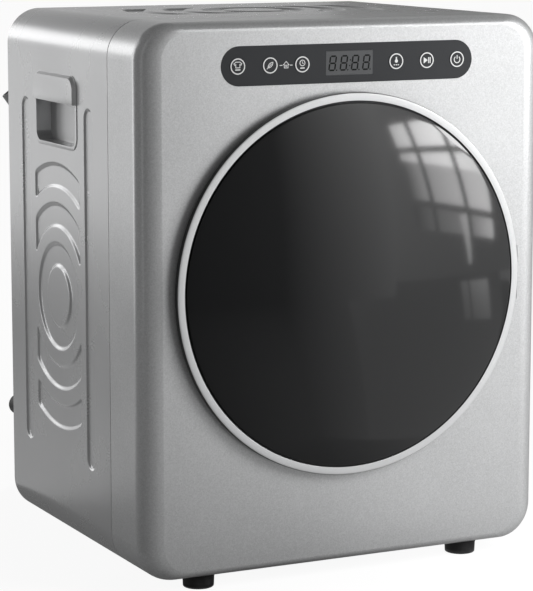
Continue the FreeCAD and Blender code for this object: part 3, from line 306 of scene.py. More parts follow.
class Nodes:
    """Nodes of one tree, added from expressions."""

    def __init__(self, tree):
        self.tree = tree

    def node(self, kind, settings=None, inputs=None, out=0):
        """New node with its settings and the values or links of its sockets. Returns one of its outputs."""
        made = self.tree.nodes.new(kind)
        for name, value in (settings or {}).items():
            setattr(made, name, value)
        for name, value in (inputs or {}).items():
            self.join(value, made.inputs[name])
        return Value(self, made.outputs[out]) if made.outputs else None

    def join(self, value, socket):
        if isinstance(value, Value):
            self.tree.links.new(value.socket, socket)
        elif isinstance(value, tuple) and socket.type == "RGBA":
            socket.default_value = (*value, 1.0)
        else:
            socket.default_value = value

    def maths(self, operation, first, second):
        return self.node("ShaderNodeMath", {"operation": operation}, {0: first, 1: second})

    def vectors(self, operation, first, second, out=0):
        return self.node("ShaderNodeVectorMath", {"operation": operation}, {0: first, 1: second}, out)

    def seen(self):
        """Factor that is 1 for the camera, for reflections and through clear pieces."""
        factor = 0.0
        for ray in ("Is Camera Ray", "Is Glossy Ray", "Is Transmission Ray"):
            factor = self.maths("MAXIMUM", self.node("ShaderNodeLightPath", out=ray), factor)
        return factor


class Finish(Nodes):
    """One procedural material. Constants go on its shader, and expressions are joined to it."""

    def __init__(self, name, **constants):
        self.material = bpy.data.materials.new(name)
        self.material.use_nodes = True
        super().__init__(self.material.node_tree)
        self.shader = self.tree.nodes["Principled BSDF"]
        self.place = self.node("ShaderNodeTexCoord", out="Object")
        self.set(**constants)

    def set(self, **inputs):
        for name, value in inputs.items():
            self.join(value, self.shader.inputs[name.replace("_", " ")])

    def show(self, shader):
        """Another shader on the material's output. No light is sampled from it."""
        self.join(shader, self.tree.nodes["Material Output"].inputs["Surface"])
        self.material.cycles.emission_sampling = "NONE"

    def stretched(self, scale):
        """Object coordinates, scaled along each axis."""
        return self.vectors("MULTIPLY", self.place, scale)

    def noise(self, scale, detail=2.0, roughness=0.5, along=None):
        inputs = {"Vector": along or self.place, "Scale": scale, "Detail": detail, "Roughness": roughness}
        return self.node("ShaderNodeTexNoise", None, inputs)

    def cells(self, scale, out="Distance", along=None):
        return self.node("ShaderNodeTexVoronoi", None, {"Vector": along or self.place, "Scale": scale}, out)

    def grey(self, colour):
        return self.node("ShaderNodeRGBToBW", None, {0: colour})

    def mix(self, factor, first, second):
        """Colour between two colours."""
        return self.node("ShaderNodeMix", {"data_type": "RGBA"}, {0: factor, 6: first, 7: second}, 2)

    def bump(self, height, strength, depth):
        """Normal of a surface with this relief, whose depth is in metres."""
        return self.node("ShaderNodeBump", None, {"Height": height, "Strength": strength, "Distance": depth})

    def painted(self, share, dark, light, rough=None, relief=None):
        """The material, with a colour between two, and with a roughness and a relief where they are given."""
        self.set(Base_Color=self.mix(share, dark, light))
        for name, value in (("Roughness", rough), ("Normal", relief)):
            if value is not None:
                self.set(**{name: value})
        return self.material


class Pattern(Nodes):
    """Geometry tree of something that repeats. Its sizes are named inputs."""

    SOCKETS = {float: "NodeSocketFloat", int: "NodeSocketInt", bpy.types.Object: "NodeSocketObject"}

    def __init__(self, name, **sizes):
        super().__init__(bpy.data.node_groups.new(name, "GeometryNodeTree"))
        self.sizes = sizes
        face = self.tree.interface
        face.new_socket("Points", in_out="INPUT", socket_type="NodeSocketGeometry")
        for size, value in sizes.items():
            face.new_socket(size, in_out="INPUT", socket_type=self.SOCKETS[type(value)])
        face.new_socket("Shape", in_out="OUTPUT", socket_type="NodeSocketGeometry")

    def size(self, name):
        return self.node("NodeGroupInput", out=name)

    def vector(self, x, y, z):
        return self.node("ShaderNodeCombineXYZ", None, {0: x, 1: y, 2: z})

    def repeat(self, points, shape, **more):
        return self.node("GeometryNodeInstanceOnPoints", None, {"Points": points, "Instance": shape, **more})

    def shape_of(self, name):
        """Shape of the object that a named input holds."""
        return self.node("GeometryNodeObjectInfo", None, {"Object": self.size(name)}, "Geometry")

    def made(self, name, shape, finish, points=()):
        """Plain mesh of a shape in this tree."""
        whole = self.node("GeometryNodeRealizeInstances", None, {"Geometry": shape})
        whole = self.node("GeometryNodeSetMaterial", None, {"Geometry": whole, "Material": finish})
        self.node("NodeGroupOutput", None, {0: whole})
        start = bpy.data.meshes.new(name)
        start.from_pydata(points, [], [])
        thing = add(name, start)
        grown = thing.modifiers.new("pattern", "NODES")
        grown.node_group = self.tree
        for item in self.tree.interface.items_tree:
            if item.in_out == "INPUT" and item.name in self.sizes:
                grown[item.identifier] = self.sizes[item.name]
        return finished(thing, name)


# Finishes

def silver(name, dark, light, flake, metal, rough):
    """Silver paint: a base with slow changes of tone, and fine bright flakes."""
    finish = Finish(name)
    slow = finish.noise(9.0, 3.0)
    grain = finish.noise(620.0, 1.0)
    flakes = finish.grey(finish.cells(FLAKE_SCALE, "Color"))
    tone = 0.5 + (slow - 0.5) * 0.4 + ((grain - 0.5) * 0.7 + flakes - 0.5) * flake
    finish.set(Metallic=metal - 0.04 + slow * 0.08)
    rough = rough + (slow - 0.5) * 0.05 + (grain - 0.5) * (flake * 0.06)
    return finish.painted(tone.between(0.0, 1.0), dark, light, rough)


def trim_paint_and_shade(name, dark, light, rim, ends):
    """Pale paint on a ring's face between two radii in millimetres, and a near-black painted shade on its
    walls, standing for the dark gap behind the ring and the dark that the walls mirror.
    """
    finish = Finish(name, Metallic=0.45)
    slow = finish.noise(9.0, 3.0)
    flakes = finish.grey(finish.cells(FLAKE_SCALE, "Color"))
    face = finish.mix(slow * 0.7 + flakes * 0.3, dark, light)
    spoke = finish.vectors("SUBTRACT", finish.place, (0.0, 0.0, AXIS_Z * MM))
    spoke = finish.vectors("MULTIPLY", spoke, (1.0, 0.0, 1.0))
    r = finish.vectors("LENGTH", spoke, (0.0, 0.0, 0.0), "Value") * (1 / MM)
    inner, outer = ends
    # 1 on the pale face; beyond these radii the walls get the rim colour, which is painted shade
    on_face = r.between(inner, inner + RIM_BLUR) * (1.0 - r.between(outer - RIM_BLUR, outer))
    return finish.painted(on_face, rim, face, 0.24 + slow * 0.1)


def moulded(name, dark, light, rough, grain=1500.0, relief=0.00006, **constants):
    """Moulded plastic: fine etched grain with a slow change of tone."""
    finish = Finish(name, **constants)
    slow = finish.noise(24.0, 3.0)
    fine = finish.noise(grain, 2.0)
    rough = rough - 0.06 + slow * 0.06 + fine * 0.06
    return finish.painted(slow * 0.6 + fine * 0.4, dark, light, rough, finish.bump(fine, 0.25, relief))


def polished(name, dark, light, rough, **constants):
    """Polished plastic: faint swirls and smears in its gloss."""
    finish = Finish(name, **constants)
    smear = finish.noise(7.0, 5.0, 0.6)
    hair = finish.noise(60.0, 3.0, along=finish.stretched((1.0, 1.0, 14.0)))
    return finish.painted(smear, dark, light, rough + smear * (rough * 0.6) + hair * (rough * 0.2))


def rubbery(name, dark, light):
    """Rubber: matt, with a dusty bloom and a pebbled skin."""
    finish = Finish(name, Specular_IOR_Level=0.35)
    bloom = finish.noise(55.0, 4.0)
    pebble = finish.bump(finish.noise(900.0, 2.0), 0.3, 0.00012)
    return finish.painted(bloom.between(0.45, 0.8), dark, light, 0.42 + bloom * 0.25, pebble)


def spangled(name, dark, light):
    """Galvanised sheet: overlapping grey crystals."""
    finish = Finish(name, Metallic=0.85)
    crystals = finish.grey(finish.cells(85.0, "Color"))
    streak = finish.noise(30.0, 4.0, along=finish.stretched((1.0, 1.0, 5.0)))
    rough = 0.34 + crystals * 0.14 + streak * 0.06
    relief = finish.bump(crystals, 0.08, 0.00008)
    return finish.painted(crystals * 0.55 + streak * 0.45, dark, light, rough, relief)


def brushed(name, dark, light, scale, rough):
    """Brushed steel: fine lines that run across the direction in which scale is large."""
    finish = Finish(name, Metallic=1.0)
    lines = finish.noise(1.0, 3.0, 0.6, along=finish.stretched(scale))
    cloud = finish.noise(12.0, 3.0)
    rough = rough - 0.08 + lines * 0.16
    return finish.painted(lines * 0.7 + cloud * 0.3, dark, light, rough, finish.bump(lines, 0.1, 0.00005))


def cast(name, dark, light, metal, rough):
    """Cast or folded metal with a mottled, slightly pitted skin."""
    finish = Finish(name, Metallic=metal)
    mottle = finish.noise(45.0, 4.0)
    pits = finish.bump(finish.cells(420.0), 0.2, 0.0001)
    return finish.painted(mottle, dark, light, rough - 0.05 + mottle * 0.12, pits)


def felted(name, dark, light):
    """Pressed felt: tangled fibres with a soft sheen."""
    finish = Finish(name, Sheen_Weight=0.4, Sheen_Roughness=0.6, Roughness=0.95)
    fibres = finish.noise(1.0, 4.0, 0.7, along=finish.stretched((1500.0, 500.0, 1500.0)))
    clumps = finish.noise(160.0, 3.0)
    relief = finish.bump(fibres + clumps, 0.6, 0.0003)
    return finish.painted(fibres * 0.6 + clumps * 0.4, dark, light, relief=relief)


def circuit(name, dark, light):
    """Solder mask with lighter copper tracks under it."""
    finish = Finish(name, Roughness=0.35)
    tracks = finish.cells(160.0, along=finish.stretched((1.0, 0.2, 1.0))).between(0.28, 0.3)
    return finish.painted(tracks, light, dark, relief=finish.bump(tracks, 0.2, 0.00004))


SILVER_WRAP = silver("silver_wrap", (0.47, 0.473, 0.477), (0.59, 0.594, 0.598), 0.08, 0.62, 0.27)
SILVER_FRONT = silver("silver_front", (0.47, 0.474, 0.478), (0.65, 0.655, 0.66), 0.45, 0.58, 0.3)
# The near-black third colour is painted shade on the ring's walls and skirt, not a second paint
SILVER_RING_AND_SHADE = trim_paint_and_shade(
    "silver_ring", (0.55, 0.555, 0.56), (0.63, 0.635, 0.64), (0.03, 0.031, 0.032),
    (RING_INNER, RING_R - RIM_EDGE),
)
SMOKED = polished(
    "smoked", (0.007, 0.0072, 0.0076), (0.009, 0.0092, 0.0096), 0.06, Coat_Weight=0.2, Coat_Roughness=0.05
)
CLEAR = polished("clear", (0.80, 0.83, 0.86), (0.86, 0.88, 0.90), 0.05, Transmission_Weight=0.92, IOR=1.49)
BLACK = moulded("black_plastic", (0.012, 0.012, 0.013), (0.022, 0.022, 0.024), 0.5)
FASCIA = moulded(
    "fascia", (0.018, 0.019, 0.0205), (0.023, 0.024, 0.026), 0.42, 2200.0, 0.00003, Specular_IOR_Level=0.28
)
KEY_CAP = moulded(
    "key_cap", (0.016, 0.017, 0.018), (0.022, 0.023, 0.025), 0.44, 2200.0, 0.00003, Specular_IOR_Level=0.28
)
DISPLAY = polished("display", (0.060, 0.062, 0.064), (0.074, 0.076, 0.078), 0.4, Specular_IOR_Level=0.3)
DIGIT = polished("digit", (0.003, 0.003, 0.003), (0.005, 0.005, 0.005), 0.5, Specular_IOR_Level=0.15)
PRINT = moulded("print", (0.54, 0.54, 0.54), (0.60, 0.60, 0.60), 0.5)
MODULE = moulded("module", (0.02, 0.02, 0.02), (0.035, 0.035, 0.035), 0.55)
BOARD = circuit("board", (0.02, 0.13, 0.05), (0.06, 0.22, 0.09))
RUBBER = rubbery("rubber", (0.012, 0.012, 0.0125), (0.030, 0.030, 0.031))
GALVANISED = spangled("galvanised", (0.42, 0.43, 0.44), (0.64, 0.65, 0.66))
STEEL = brushed("steel", (0.42, 0.42, 0.43), (0.62, 0.62, 0.63), (400.0, 400.0, 2400.0), 0.34)
DRUM_STEEL = brushed("drum_steel", (0.55, 0.55, 0.56), (0.78, 0.78, 0.79), (14.0, 2600.0, 14.0), 0.32)
# Near-black plugs in place of the drum's holes: a painted shade where a hole would show the dark behind the
# drum
HOLE_SHADE = moulded("drum_hole", (0.008, 0.008, 0.008), (0.014, 0.014, 0.014), 0.8)
GREY = moulded("grey_plastic", (0.20, 0.205, 0.21), (0.26, 0.265, 0.27), 0.5)
PALE = moulded("pale_plastic", (0.66, 0.66, 0.65), (0.76, 0.76, 0.75), 0.45)
FELT = felted("felt", (0.36, 0.34, 0.31), (0.62, 0.60, 0.56))
MOTOR_METAL = cast("motor_metal", (0.30, 0.31, 0.32), (0.50, 0.51, 0.52), 0.9, 0.5)
HEATER_METAL = cast("heater_metal", (0.58, 0.58, 0.58), (0.74, 0.74, 0.74), 0.95, 0.35)

SLOT_FINISHES = {
    "silver_paint": SILVER_WRAP, "silver_front": SILVER_FRONT, "silver_trim": SILVER_RING_AND_SHADE,
    "smoked": SMOKED, "black_plastic": BLACK, "clear_bowl": CLEAR, "fascia": FASCIA, "key_cap": KEY_CAP,
    "display": DISPLAY, "module": MODULE, "board": BOARD, "grip": SILVER_WRAP, "rubber": RUBBER,
    "galvanised": GALVANISED, "steel": STEEL, "drum_steel": DRUM_STEEL, "grey_plastic": GREY,
    "pale_plastic": PALE, "felt": FELT, "motor_metal": MOTOR_METAL, "heater_metal": HEATER_METAL,
}


def dress_solids():
    for part in frame["record"]["subparts"]:
        mesh = NODES[part["node"]].data
        mesh.materials.clear()
        mesh.materials.append(SLOT_FINISHES[part["material_slot"]])


# Shapes, drawn in millimetres

def piece(name, mesh, finish, body, slot, *stands_for):
    """A mesh in place that moves with a body and may stand for solids."""
    mesh.materials.clear()
    mesh.materials.append(finish)
    thing = add(name, mesh)
    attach(thing, body)
    if stands_for:
        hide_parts(*stands_for)
    return thing


def mesh_from(bm, name):
    """Mesh in metres from a bmesh in millimetres."""
    bmesh.ops.scale(bm, vec=(MM, MM, MM), verts=bm.verts)
    mesh = bpy.data.meshes.new(name)
    bm.to_mesh(mesh)
    bm.free()
    return mesh


def smoothed(mesh, sharp=SHARP):
    """The mesh, smooth but for edges sharper than an angle."""
    mesh.shade_smooth()
    mesh.set_sharp_from_angle(angle=math.radians(sharp))
    return mesh


def finished(thing, name):
    """Plain mesh of an object with its modifiers, in place of the object."""
    bpy.context.view_layer.update()
    shown = thing.evaluated_get(bpy.context.evaluated_depsgraph_get())
    mesh = bpy.data.meshes.new_from_object(shown)
    mesh.name = name
    old = thing.data
    bpy.data.objects.remove(thing)
    bpy.data.meshes.remove(old)
    return mesh


def arc(x, y, r, start, end, steps):
    """Points on an arc, by angles in degrees."""
    turns = [math.radians(start + (end - start) * step / steps) for step in range(steps + 1)]
    return [(x + r * math.cos(turn), y + r * math.sin(turn)) for turn in turns]


def circle(r, steps=96):
    return arc(0, 0, r, 0, 360 - 360 / steps, steps - 1)


def rounded(width, tall, r, steps=12):
    """Points of a rounded rectangle about the origin, anticlockwise."""
    points = []
    for quarter, (sx, sy) in enumerate(((1, 1), (-1, 1), (-1, -1), (1, -1))):
        corner = sx * (width / 2 - r), sy * (tall / 2 - r)
        points += arc(*corner, r, 90 * quarter, 90 * quarter + 90, steps)
    return points


def on_axis(x, z):
    """Placing of (radius, depth) points about a front-to-back axis."""
    return lambda r, depth, turn: (x + r * math.cos(turn), FACE_Y + depth, z + r * math.sin(turn))


def on_post(x, y):
    """Placing of (radius, height) points about an upright axis."""
    return lambda r, high, turn: (x + r * math.cos(turn), y + r * math.sin(turn), high)


def lathe(bm, profile, place, steps):
    """Solid of revolution of a closed profile of (radius, depth) points."""
    rings = []
    for r, depth in profile:
        count = steps if r > 1e-6 else 1
        turns = [2 * math.pi * step / steps for step in range(count)]
        rings.append([bm.verts.new(place(r, depth, turn)) for turn in turns])
    faces = []
    for near, far in zip(rings, rings[1:] + rings[:1]):
        if len(near) == len(far) == 1:
            continue
        for step in range(steps):
            loop = [near[step % len(near)], near[(step + 1) % len(near)],
                    far[(step + 1) % len(far)], far[step % len(far)]]
            faces.append(bm.faces.new(list(dict.fromkeys(loop))))
    bmesh.ops.recalc_face_normals(bm, faces=faces)


def turned(name, profile, place, steps):
    bm = bmesh.new()
    lathe(bm, profile, place, steps)
    return smoothed(mesh_from(bm, name))


def loop_of(bm, points):
    """Vertices of a closed loop of edges."""
    verts = [bm.verts.new(point) for point in points]
    for first, second in zip(verts, verts[1:] + verts[:1]):
        bm.edges.new((first, second))
    return verts


def bridge(bm, first, second):
    """Strip of faces between two loops with as many points."""
    count = len(first)
    for step in range(count):
        after = (step + 1) % count
        bm.faces.new((first[step], first[after], second[after], second[step]))


def fill(bm, *loops):
    """Flat faces inside the first loop and outside the others."""
    edges = [bm.edges.get(pair) for loop in loops for pair in zip(loop, loop[1:] + loop[:1])]
    bmesh.ops.triangle_fill(bm, edges=edges, use_beauty=True)


def turn_outwards(bm, middle):
    """Faces of an open sheet made to point away from its middle."""
    bmesh.ops.remove_doubles(bm, verts=bm.verts, dist=WELD)
    bmesh.ops.recalc_face_normals(bm, faces=bm.faces)
    lean = sum(face.normal.dot(face.calc_center_median() - middle) * face.calc_area() for face in bm.faces)
    if lean < 0:
        bmesh.ops.reverse_faces(bm, faces=bm.faces)


# Cabinet sheet with its pressed forms

def outward(points):
    """Unit normals of an anticlockwise loop."""
    normals = []
    for before, after in zip(points[-1:] + points[:-1], points[1:] + points[:1]):
        along = Vector(after) - Vector(before)
        normals.append(Vector((along.y, -along.x)).normalized())
    return normals


def groove_levels(wall):
    """(offset, level) pairs down the wall of a pressed form, with a flat margin at each end."""
    pairs = []
    for step in range(-1, GROOVE_STEPS + 2):
        share = min(max(step / GROOVE_STEPS, 0.0), 1.0)
        level = -GROOVE * share * share * (3 - 2 * share)
        pairs.append((wall * (0.5 - step / GROOVE_STEPS) - GROOVE / 2, level))
    return pairs


def groove_wall(bm, place, points, side=1, wall=GROOVE_WALL):
    """Rounded step down from a loop of points. Returns its top loop and its bottom loop."""
    normals = outward(points)
    loops = []
    for offset, level in groove_levels(wall):
        flat = [Vector(point) + normal * offset * side for point, normal in zip(points, normals)]
        loops.append(loop_of(bm, [place(*point, level) for point in flat]))
    for first, second in zip(loops, loops[1:]):
        bridge(bm, first, second)
    return loops[0], loops[-1]


def bend(start, corner, end, steps=5):
    """Points between two ends of a softened corner."""
    a, b, c = Vector(start), Vector(corner), Vector(end)
    shares = [step / steps for step in range(1, steps)]
    return [tuple(a * (1 - t) ** 2 + b * 2 * t * (1 - t) + c * t * t) for t in shares]


def crescent(r_in, r_out, clip, flip, steps=44):
    """Part of a band between two upright lines, with softened corners, above or below the middle."""
    outer, inner = (math.degrees(math.acos(clip / r)) for r in (r_out, r_in))
    trim_out, trim_in = (math.degrees(SOFT_CORNER / r) for r in (r_out, r_in))
    top, low = (r * math.sin(math.radians(angle)) for r, angle in ((r_out, outer), (r_in, inner)))
    sides = [
        arc(0, 0, r_out, outer + trim_out, 180 - outer - trim_out, steps),
        [(-clip, top - SOFT_CORNER), (-clip, low + SOFT_CORNER)],
        arc(0, 0, r_in, 180 - inner - trim_in, inner + trim_in, steps),
        [(clip, low + SOFT_CORNER), (clip, top - SOFT_CORNER)],
    ]
    corners = [(-clip, top), (-clip, low), (clip, low), (clip, top)]
    points = []
    for side, corner, following in zip(sides, corners, sides[1:] + sides[:1]):
        points += side + bend(side[-1], corner, following[0])
    return [(u, -v) for u, v in reversed(points)] if flip else points


def pressed_bands(bm, place):
    """Round band and clipped bands about the local origin. Returns the loops they leave in the sheet."""
    r_in, r_out = BANDS[0]
    rim, bottom = groove_wall(bm, place, circle(r_out))
    top, floor = groove_wall(bm, place, circle(r_in), -1)
    bridge(bm, bottom, floor)
    fill(bm, top)
    holes = [rim]
    for r_in, r_out in BANDS[1:]:
        for flip in (False, True):
            rim, bottom = groove_wall(bm, place, crescent(r_in, r_out, BAND_CLIP, flip))
            fill(bm, bottom)
            holes.append(rim)
    return holes


def pressed_flutes(bm, place, rise):
    """Upright round-ended channels on each side of the bands."""
    tall = CAB_TOP - CAB_LOW - 2 * FLUTE_END
    holes = []
    for u in (-FLUTE_OUT, FLUTE_OUT):
        points = [(u + x, rise + y) for x, y in rounded(FLUTE_W, tall, FLUTE_W / 2)]
        rim, bottom = groove_wall(bm, place, points, wall=FLUTE_WALL)
        fill(bm, bottom)
        holes.append(rim)
    return holes


def half_section(steps=20):
    """Right half of the cabinet's section: its low corner with the flange, and its high corner.

    Each is a list of points with their outward directions.
    """
    half, inner = CAB_W / 2, CAB_W / 2 - CORNER_R
    low = [((half - FLANGE_W, CAB_LOW), (0, -1)), ((inner - MARGIN, CAB_LOW), (0, -1))]
    high = [((half, CAB_TOP - CORNER_R - MARGIN), (1, 0))]
    for corner, z, start in ((low, CAB_LOW + CORNER_R, -90), (high, CAB_TOP - CORNER_R, 0)):
        spots = arc(inner, z, CORNER_R, start, start + 90, steps)
        corner += list(zip(spots, arc(0, 0, 1, start, start + 90, steps)))
    low.append(((half, CAB_LOW + CORNER_R + MARGIN), (1, 0)))
    high.append(((inner - MARGIN, CAB_TOP), (0, 1)))
    return low, high


def strip(bm, rows):
    """Faces between rows with as many points."""
    rows = [[bm.verts.new(point) for point in row] for row in rows]
    for first, second in zip(rows, rows[1:]):
        for step in range(len(first) - 1):
            bm.faces.new((first[step], first[step + 1], second[step + 1], second[step]))


def cabinet_sheet():
    """Painted sheet of the sides and the top, with bands, flutes, holes for the grips and a rolled edge."""
    bm = bmesh.new()
    half, middle_z = CAB_W / 2, (CAB_LOW + CAB_TOP) / 2
    start = WRAP_FRONT + SEAM_ROLL[-1][0]
    middle_y = (start + WRAP_REAR) / 2
    depth = (WRAP_REAR - start) / 2
    band_z = middle_z - BAND_DROP
    tall = CAB_TOP - CAB_LOW - 2 * (CORNER_R + MARGIN)
    for sign in (-1, 1):
        def on_side(u, v, level, sign=sign):
            return (sign * (half + level), GRIP_Y + u, band_z + v)

        holes = pressed_bands(bm, on_side) + pressed_flutes(bm, on_side, BAND_DROP)
        grip_w, grip_h = (GRIP_HIGH.y - GRIP_LOW.y - 2 * GRIP_RIM, GRIP_HIGH.z - GRIP_LOW.z - 2 * GRIP_RIM)
        grip = [(u, v + GRIP_Z - band_z) for u, v in rounded(grip_w, grip_h, GRIP_R - GRIP_RIM)]
        holes.append(loop_of(bm, [on_side(u, v, 0) for u, v in grip]))
        plate = [(-depth, -tall / 2), (depth, -tall / 2), (depth, tall / 2), (-depth, tall / 2)]
        outline = [on_side(u + middle_y - GRIP_Y, v + middle_z - band_z, 0) for u, v in plate]
        fill(bm, loop_of(bm, outline), *holes)

    def on_top(u, v, level):
        return (v, GRIP_Y + u, CAB_TOP + level)

    wide = half - CORNER_R - MARGIN
    plate = [(-depth, -wide), (depth, -wide), (depth, wide), (-depth, wide)]
    outline = [on_top(u + middle_y - GRIP_Y, v, 0) for u, v in plate]
    fill(bm, loop_of(bm, outline), *pressed_bands(bm, on_top))
    low, high = half_section()
    for sign in (-1, 1):
        for corner in (low, high):
            strip(bm, [[(sign * x, y, z) for (x, z), _ in corner] for y in (start, WRAP_REAR)])
    whole = low + high + [((-x, z), (-nx, nz)) for (x, z), (nx, nz) in reversed(low + high)]
    strip(bm, [
        [(x - nx * inset, WRAP_FRONT + back, z - nz * inset) for (x, z), (nx, nz) in whole]
        for back, inset in SEAM_ROLL
    ])
    turn_outwards(bm, Vector((0, middle_y, middle_z)))
    thing = add("sheet", mesh_from(bm, "sheet"))
    wall = thing.modifiers.new("wall", "SOLIDIFY")
    wall.thickness = SHEET * MM
    wall.offset = -1.0
    mesh = smoothed(finished(thing, "cabinet_sheet"))
    piece("cabinet_sheet", mesh, SILVER_WRAP, "cabinet", "silver_paint", "cabinet_wrap")


# Door

def door_front():
    """Trim ring with a rounded outer edge, and the smoked dome in it."""
    front, back = RING_LOW.y - FACE_Y, RING_HIGH.y - FACE_Y + RIM_SKIRT
    inside = front + RING_WALL
    nick, edge = (arc(0, 0, r, 0, 90, steps) for r, steps in ((RING_NICK, 4), (RING_EDGE, 8)))
    profile = [(RING_INNER, inside)]
    profile += [(RING_INNER + RING_NICK - y, front + RING_NICK - x) for x, y in reversed(nick)]
    profile += [(RING_R - RING_EDGE + y, front + RING_EDGE - x) for x, y in edge]
    profile += [(RING_R, back), (RING_R - RING_WALL, back), (RING_R - RING_WALL, inside)]
    ring = turned("door_trim", profile, on_axis(0, AXIS_Z), DOOR_STEPS)
    piece("door_trim", ring, SILVER_RING_AND_SHADE, "door", "silver_trim", "door_ring")

    apex, rim = DOME_LOW.y - FACE_Y, DOME_HIGH.y - FACE_Y
    rise = front - apex
    ball = (DOME_R * DOME_R + rise * rise) / (2 * rise)

    def cap(top, r, r_ball):
        spread = math.degrees(math.asin(r / r_ball))
        return [(x, top + r_ball - y) for x, y in arc(0, 0, r_ball, 90, 90 - spread, 40)]

    # The edge rolls on from the dome's own slope
    hub = DOME_EDGE - DOME_ROLL
    brink = hub / (1 - DOME_ROLL / ball)
    slope = math.degrees(math.asin(brink / ball))
    outside = cap(apex, brink, ball)
    foot = outside[-1][1] + DOME_ROLL * math.cos(math.radians(slope))
    turn = [(hub + x, foot - y) for x, y in arc(0, 0, DOME_ROLL, 90 - slope, 0, 10)]
    hollow = cap(apex + DOME_WALL, DOME_EDGE - DOME_WALL, ball - DOME_WALL)
    profile = [(0.0, apex)] + outside[1:] + turn[1:] + [(DOME_EDGE, rim)] + hollow[:0:-1]
    profile.append((0.0, apex + DOME_WALL))
    dome = turned("smoked_dome", profile, on_axis(0, AXIS_Z), DOOR_STEPS)
    piece("smoked_dome", dome, SMOKED, "door", "smoked", "door_dome")


def door_rubber():
    """Seal with a soft lip, on the back of the door."""
    low, high = box_mm("door_seal")
    outer, inner = high.x, high.x - SEAL_W
    back, front = high.y - FACE_Y, low.y - FACE_Y
    deep = back - front
    profile = [(inner, front), (inner, front + deep * LIP_FOOT)]
    for step in range(LIP_STEPS + 1):
        share = step / LIP_STEPS
        swell = math.sin(math.pi * share) * LIP_SWELL
        lip = inner + LIP_INSET + share * (outer - inner - LIP_LESS)
        profile.append((lip, front + deep * (LIP_FOOT + swell)))
    profile += [(outer - SEAL_NICK, front + deep * SEAL_BACK), (outer, front + deep * SEAL_SIDE)]
    profile.append((outer, front))
    seal = turned("door_gasket", profile, on_axis(0, AXIS_Z), SEAL_STEPS)
    piece("door_gasket", seal, RUBBER, "door", "rubber", "door_seal")


def mouth_felt():
    """Felt ring at the drum's mouth, with a rounded and slightly uneven pile."""
    low, high = box_mm("front_felt")
    r_out, r_in = high.x, high.x - FELT_W
    front, back = low.y - FACE_Y, high.y - FACE_Y
    profile = []
    for r, depth, start in ((r_out, back, 0), (r_out, front, 1), (r_in, front, 2), (r_in, back, 3)):
        across = -1 if start in (0, 1) else 1
        along = -1 if start in (0, 3) else 1
        turns = arc(0, 0, FELT_SOFT, 90 - 90 * start, -90 * start, 4)
        profile += [(r + across * FELT_SOFT + x, depth + along * FELT_SOFT + y) for x, y in turns]
    bm = bmesh.new()
    lathe(bm, profile, on_axis(0, AXIS_Z), FELT_STEPS)
    for vert in bm.verts:
        out = Vector((vert.co.x, 0, vert.co.z - AXIS_Z)).normalized()
        vert.co -= out * FELT_PILE * abs(noise.noise(vert.co * FELT_TUFTS))
    felt = smoothed(mesh_from(bm, "mouth_felt"), FELT_SHARP)
    piece("mouth_felt", felt, FELT, "cabinet", "felt", "front_felt")


# Feet

def feet():
    """Rubber feet: tapered, with a rounded tread edge, a groove under the flange and a bolt recess."""
    for node in ("front_left_foot", "front_right_foot", "rear_left_foot", "rear_right_foot"):
        low, high = box_mm(node)
        x, y = (low.x + high.x) / 2, (low.y + high.y) / 2
        r, tall = (high.x - low.x) / 2, high.z - low.z
        flange, tread = tall * FOOT_FLANGE, r - FOOT_TAPER - FOOT_SOFT
        profile = [(FOOT_BORE, tall), (r - FOOT_NICK, tall), (r, tall - FOOT_NICK)]
        profile += [(r, flange + FOOT_LEDGE), (r - FOOT_LEDGE, flange)]
        profile += [(tread + px, FOOT_SOFT + py) for px, py in arc(0, 0, FOOT_SOFT, 0, -90, 6)]
        profile += [(FOOT_RECESS + FOOT_NICK, 0.0), (FOOT_RECESS, FOOT_NICK)]
        profile += [(FOOT_RECESS, tall / 2), (FOOT_BORE, tall / 2)]
        foot = turned(node + "_rubber", profile, on_post(x, y), FOOT_STEPS)
        piece(node + "_rubber", foot, RUBBER, "cabinet", "rubber", node)


# Prints on the control strip

def mitred(points, width, closed):
    """Points on the left and on the right of a line, half its width away."""
    count = len(points)
    sides = []
    for step, point in enumerate(points):
        here = Vector(point)
        before = Vector(points[(step - 1) % count]) if closed or step else here
        after = Vector(points[(step + 1) % count]) if closed or step < count - 1 else here
        runs = [run.normalized() for run in (here - before, after - here) if run.length]
        across = sum((Vector((-run.y, run.x)) for run in runs), Vector((0, 0))).normalized()
        stretch = max(across.dot(Vector((-runs[0].y, runs[0].x))), 0.5)
        sides.append((here + across * width / 2 / stretch, here - across * width / 2 / stretch))
    return sides


def printed_line(bm, place, points, width, closed=False):
    """Line of ink with a little body."""
    rows = []
    for left, right in mitred(points, width, closed):
        section = (*left, 1), (*right, 1), (*right, 0), (*left, 0)
        rows.append([bm.verts.new(place(*spot)) for spot in section])
    pairs = list(zip(rows, rows[1:] + rows[:1]))
    for first, second in pairs if closed else pairs[:-1]:
        for corner in range(4):
            after = (corner + 1) % 4
            bm.faces.new((first[corner], first[after], second[after], second[corner]))
    if not closed:
        bm.faces.new(rows[0])
        bm.faces.new(rows[-1])


def printed_patch(bm, place, points):
    """Filled patch of ink with a little body."""
    front, back = ([bm.verts.new(place(*point, up)) for point in points] for up in (1, 0))
    bm.faces.new(front)
    bm.faces.new(back)
    bridge(bm, front, back)


def ink_place(x, z, surface):
    """Placing of a print at a spot of a surface that faces the front."""
    return lambda u, v, up: (x + u, surface - INK * up + INK / 4, z + v)


def ink_mesh(bm, name):
    bmesh.ops.recalc_face_normals(bm, faces=bm.faces)
    return mesh_from(bm, name)


def shirt_sign(bm, place):
    half = [(1.1, 4.6), (2.2, 4.6), (4.6, 2.8), (3.6, 1.3), (2.4, 2.0), (2.4, -1.4)]
    outline = half + [(-x, y) for x, y in reversed(half)]
    printed_line(bm, place, outline, SIGN_LINE, True)
    printed_line(bm, place, [(-3.0, -3.6), (3.0, -3.6)], SIGN_DASH)


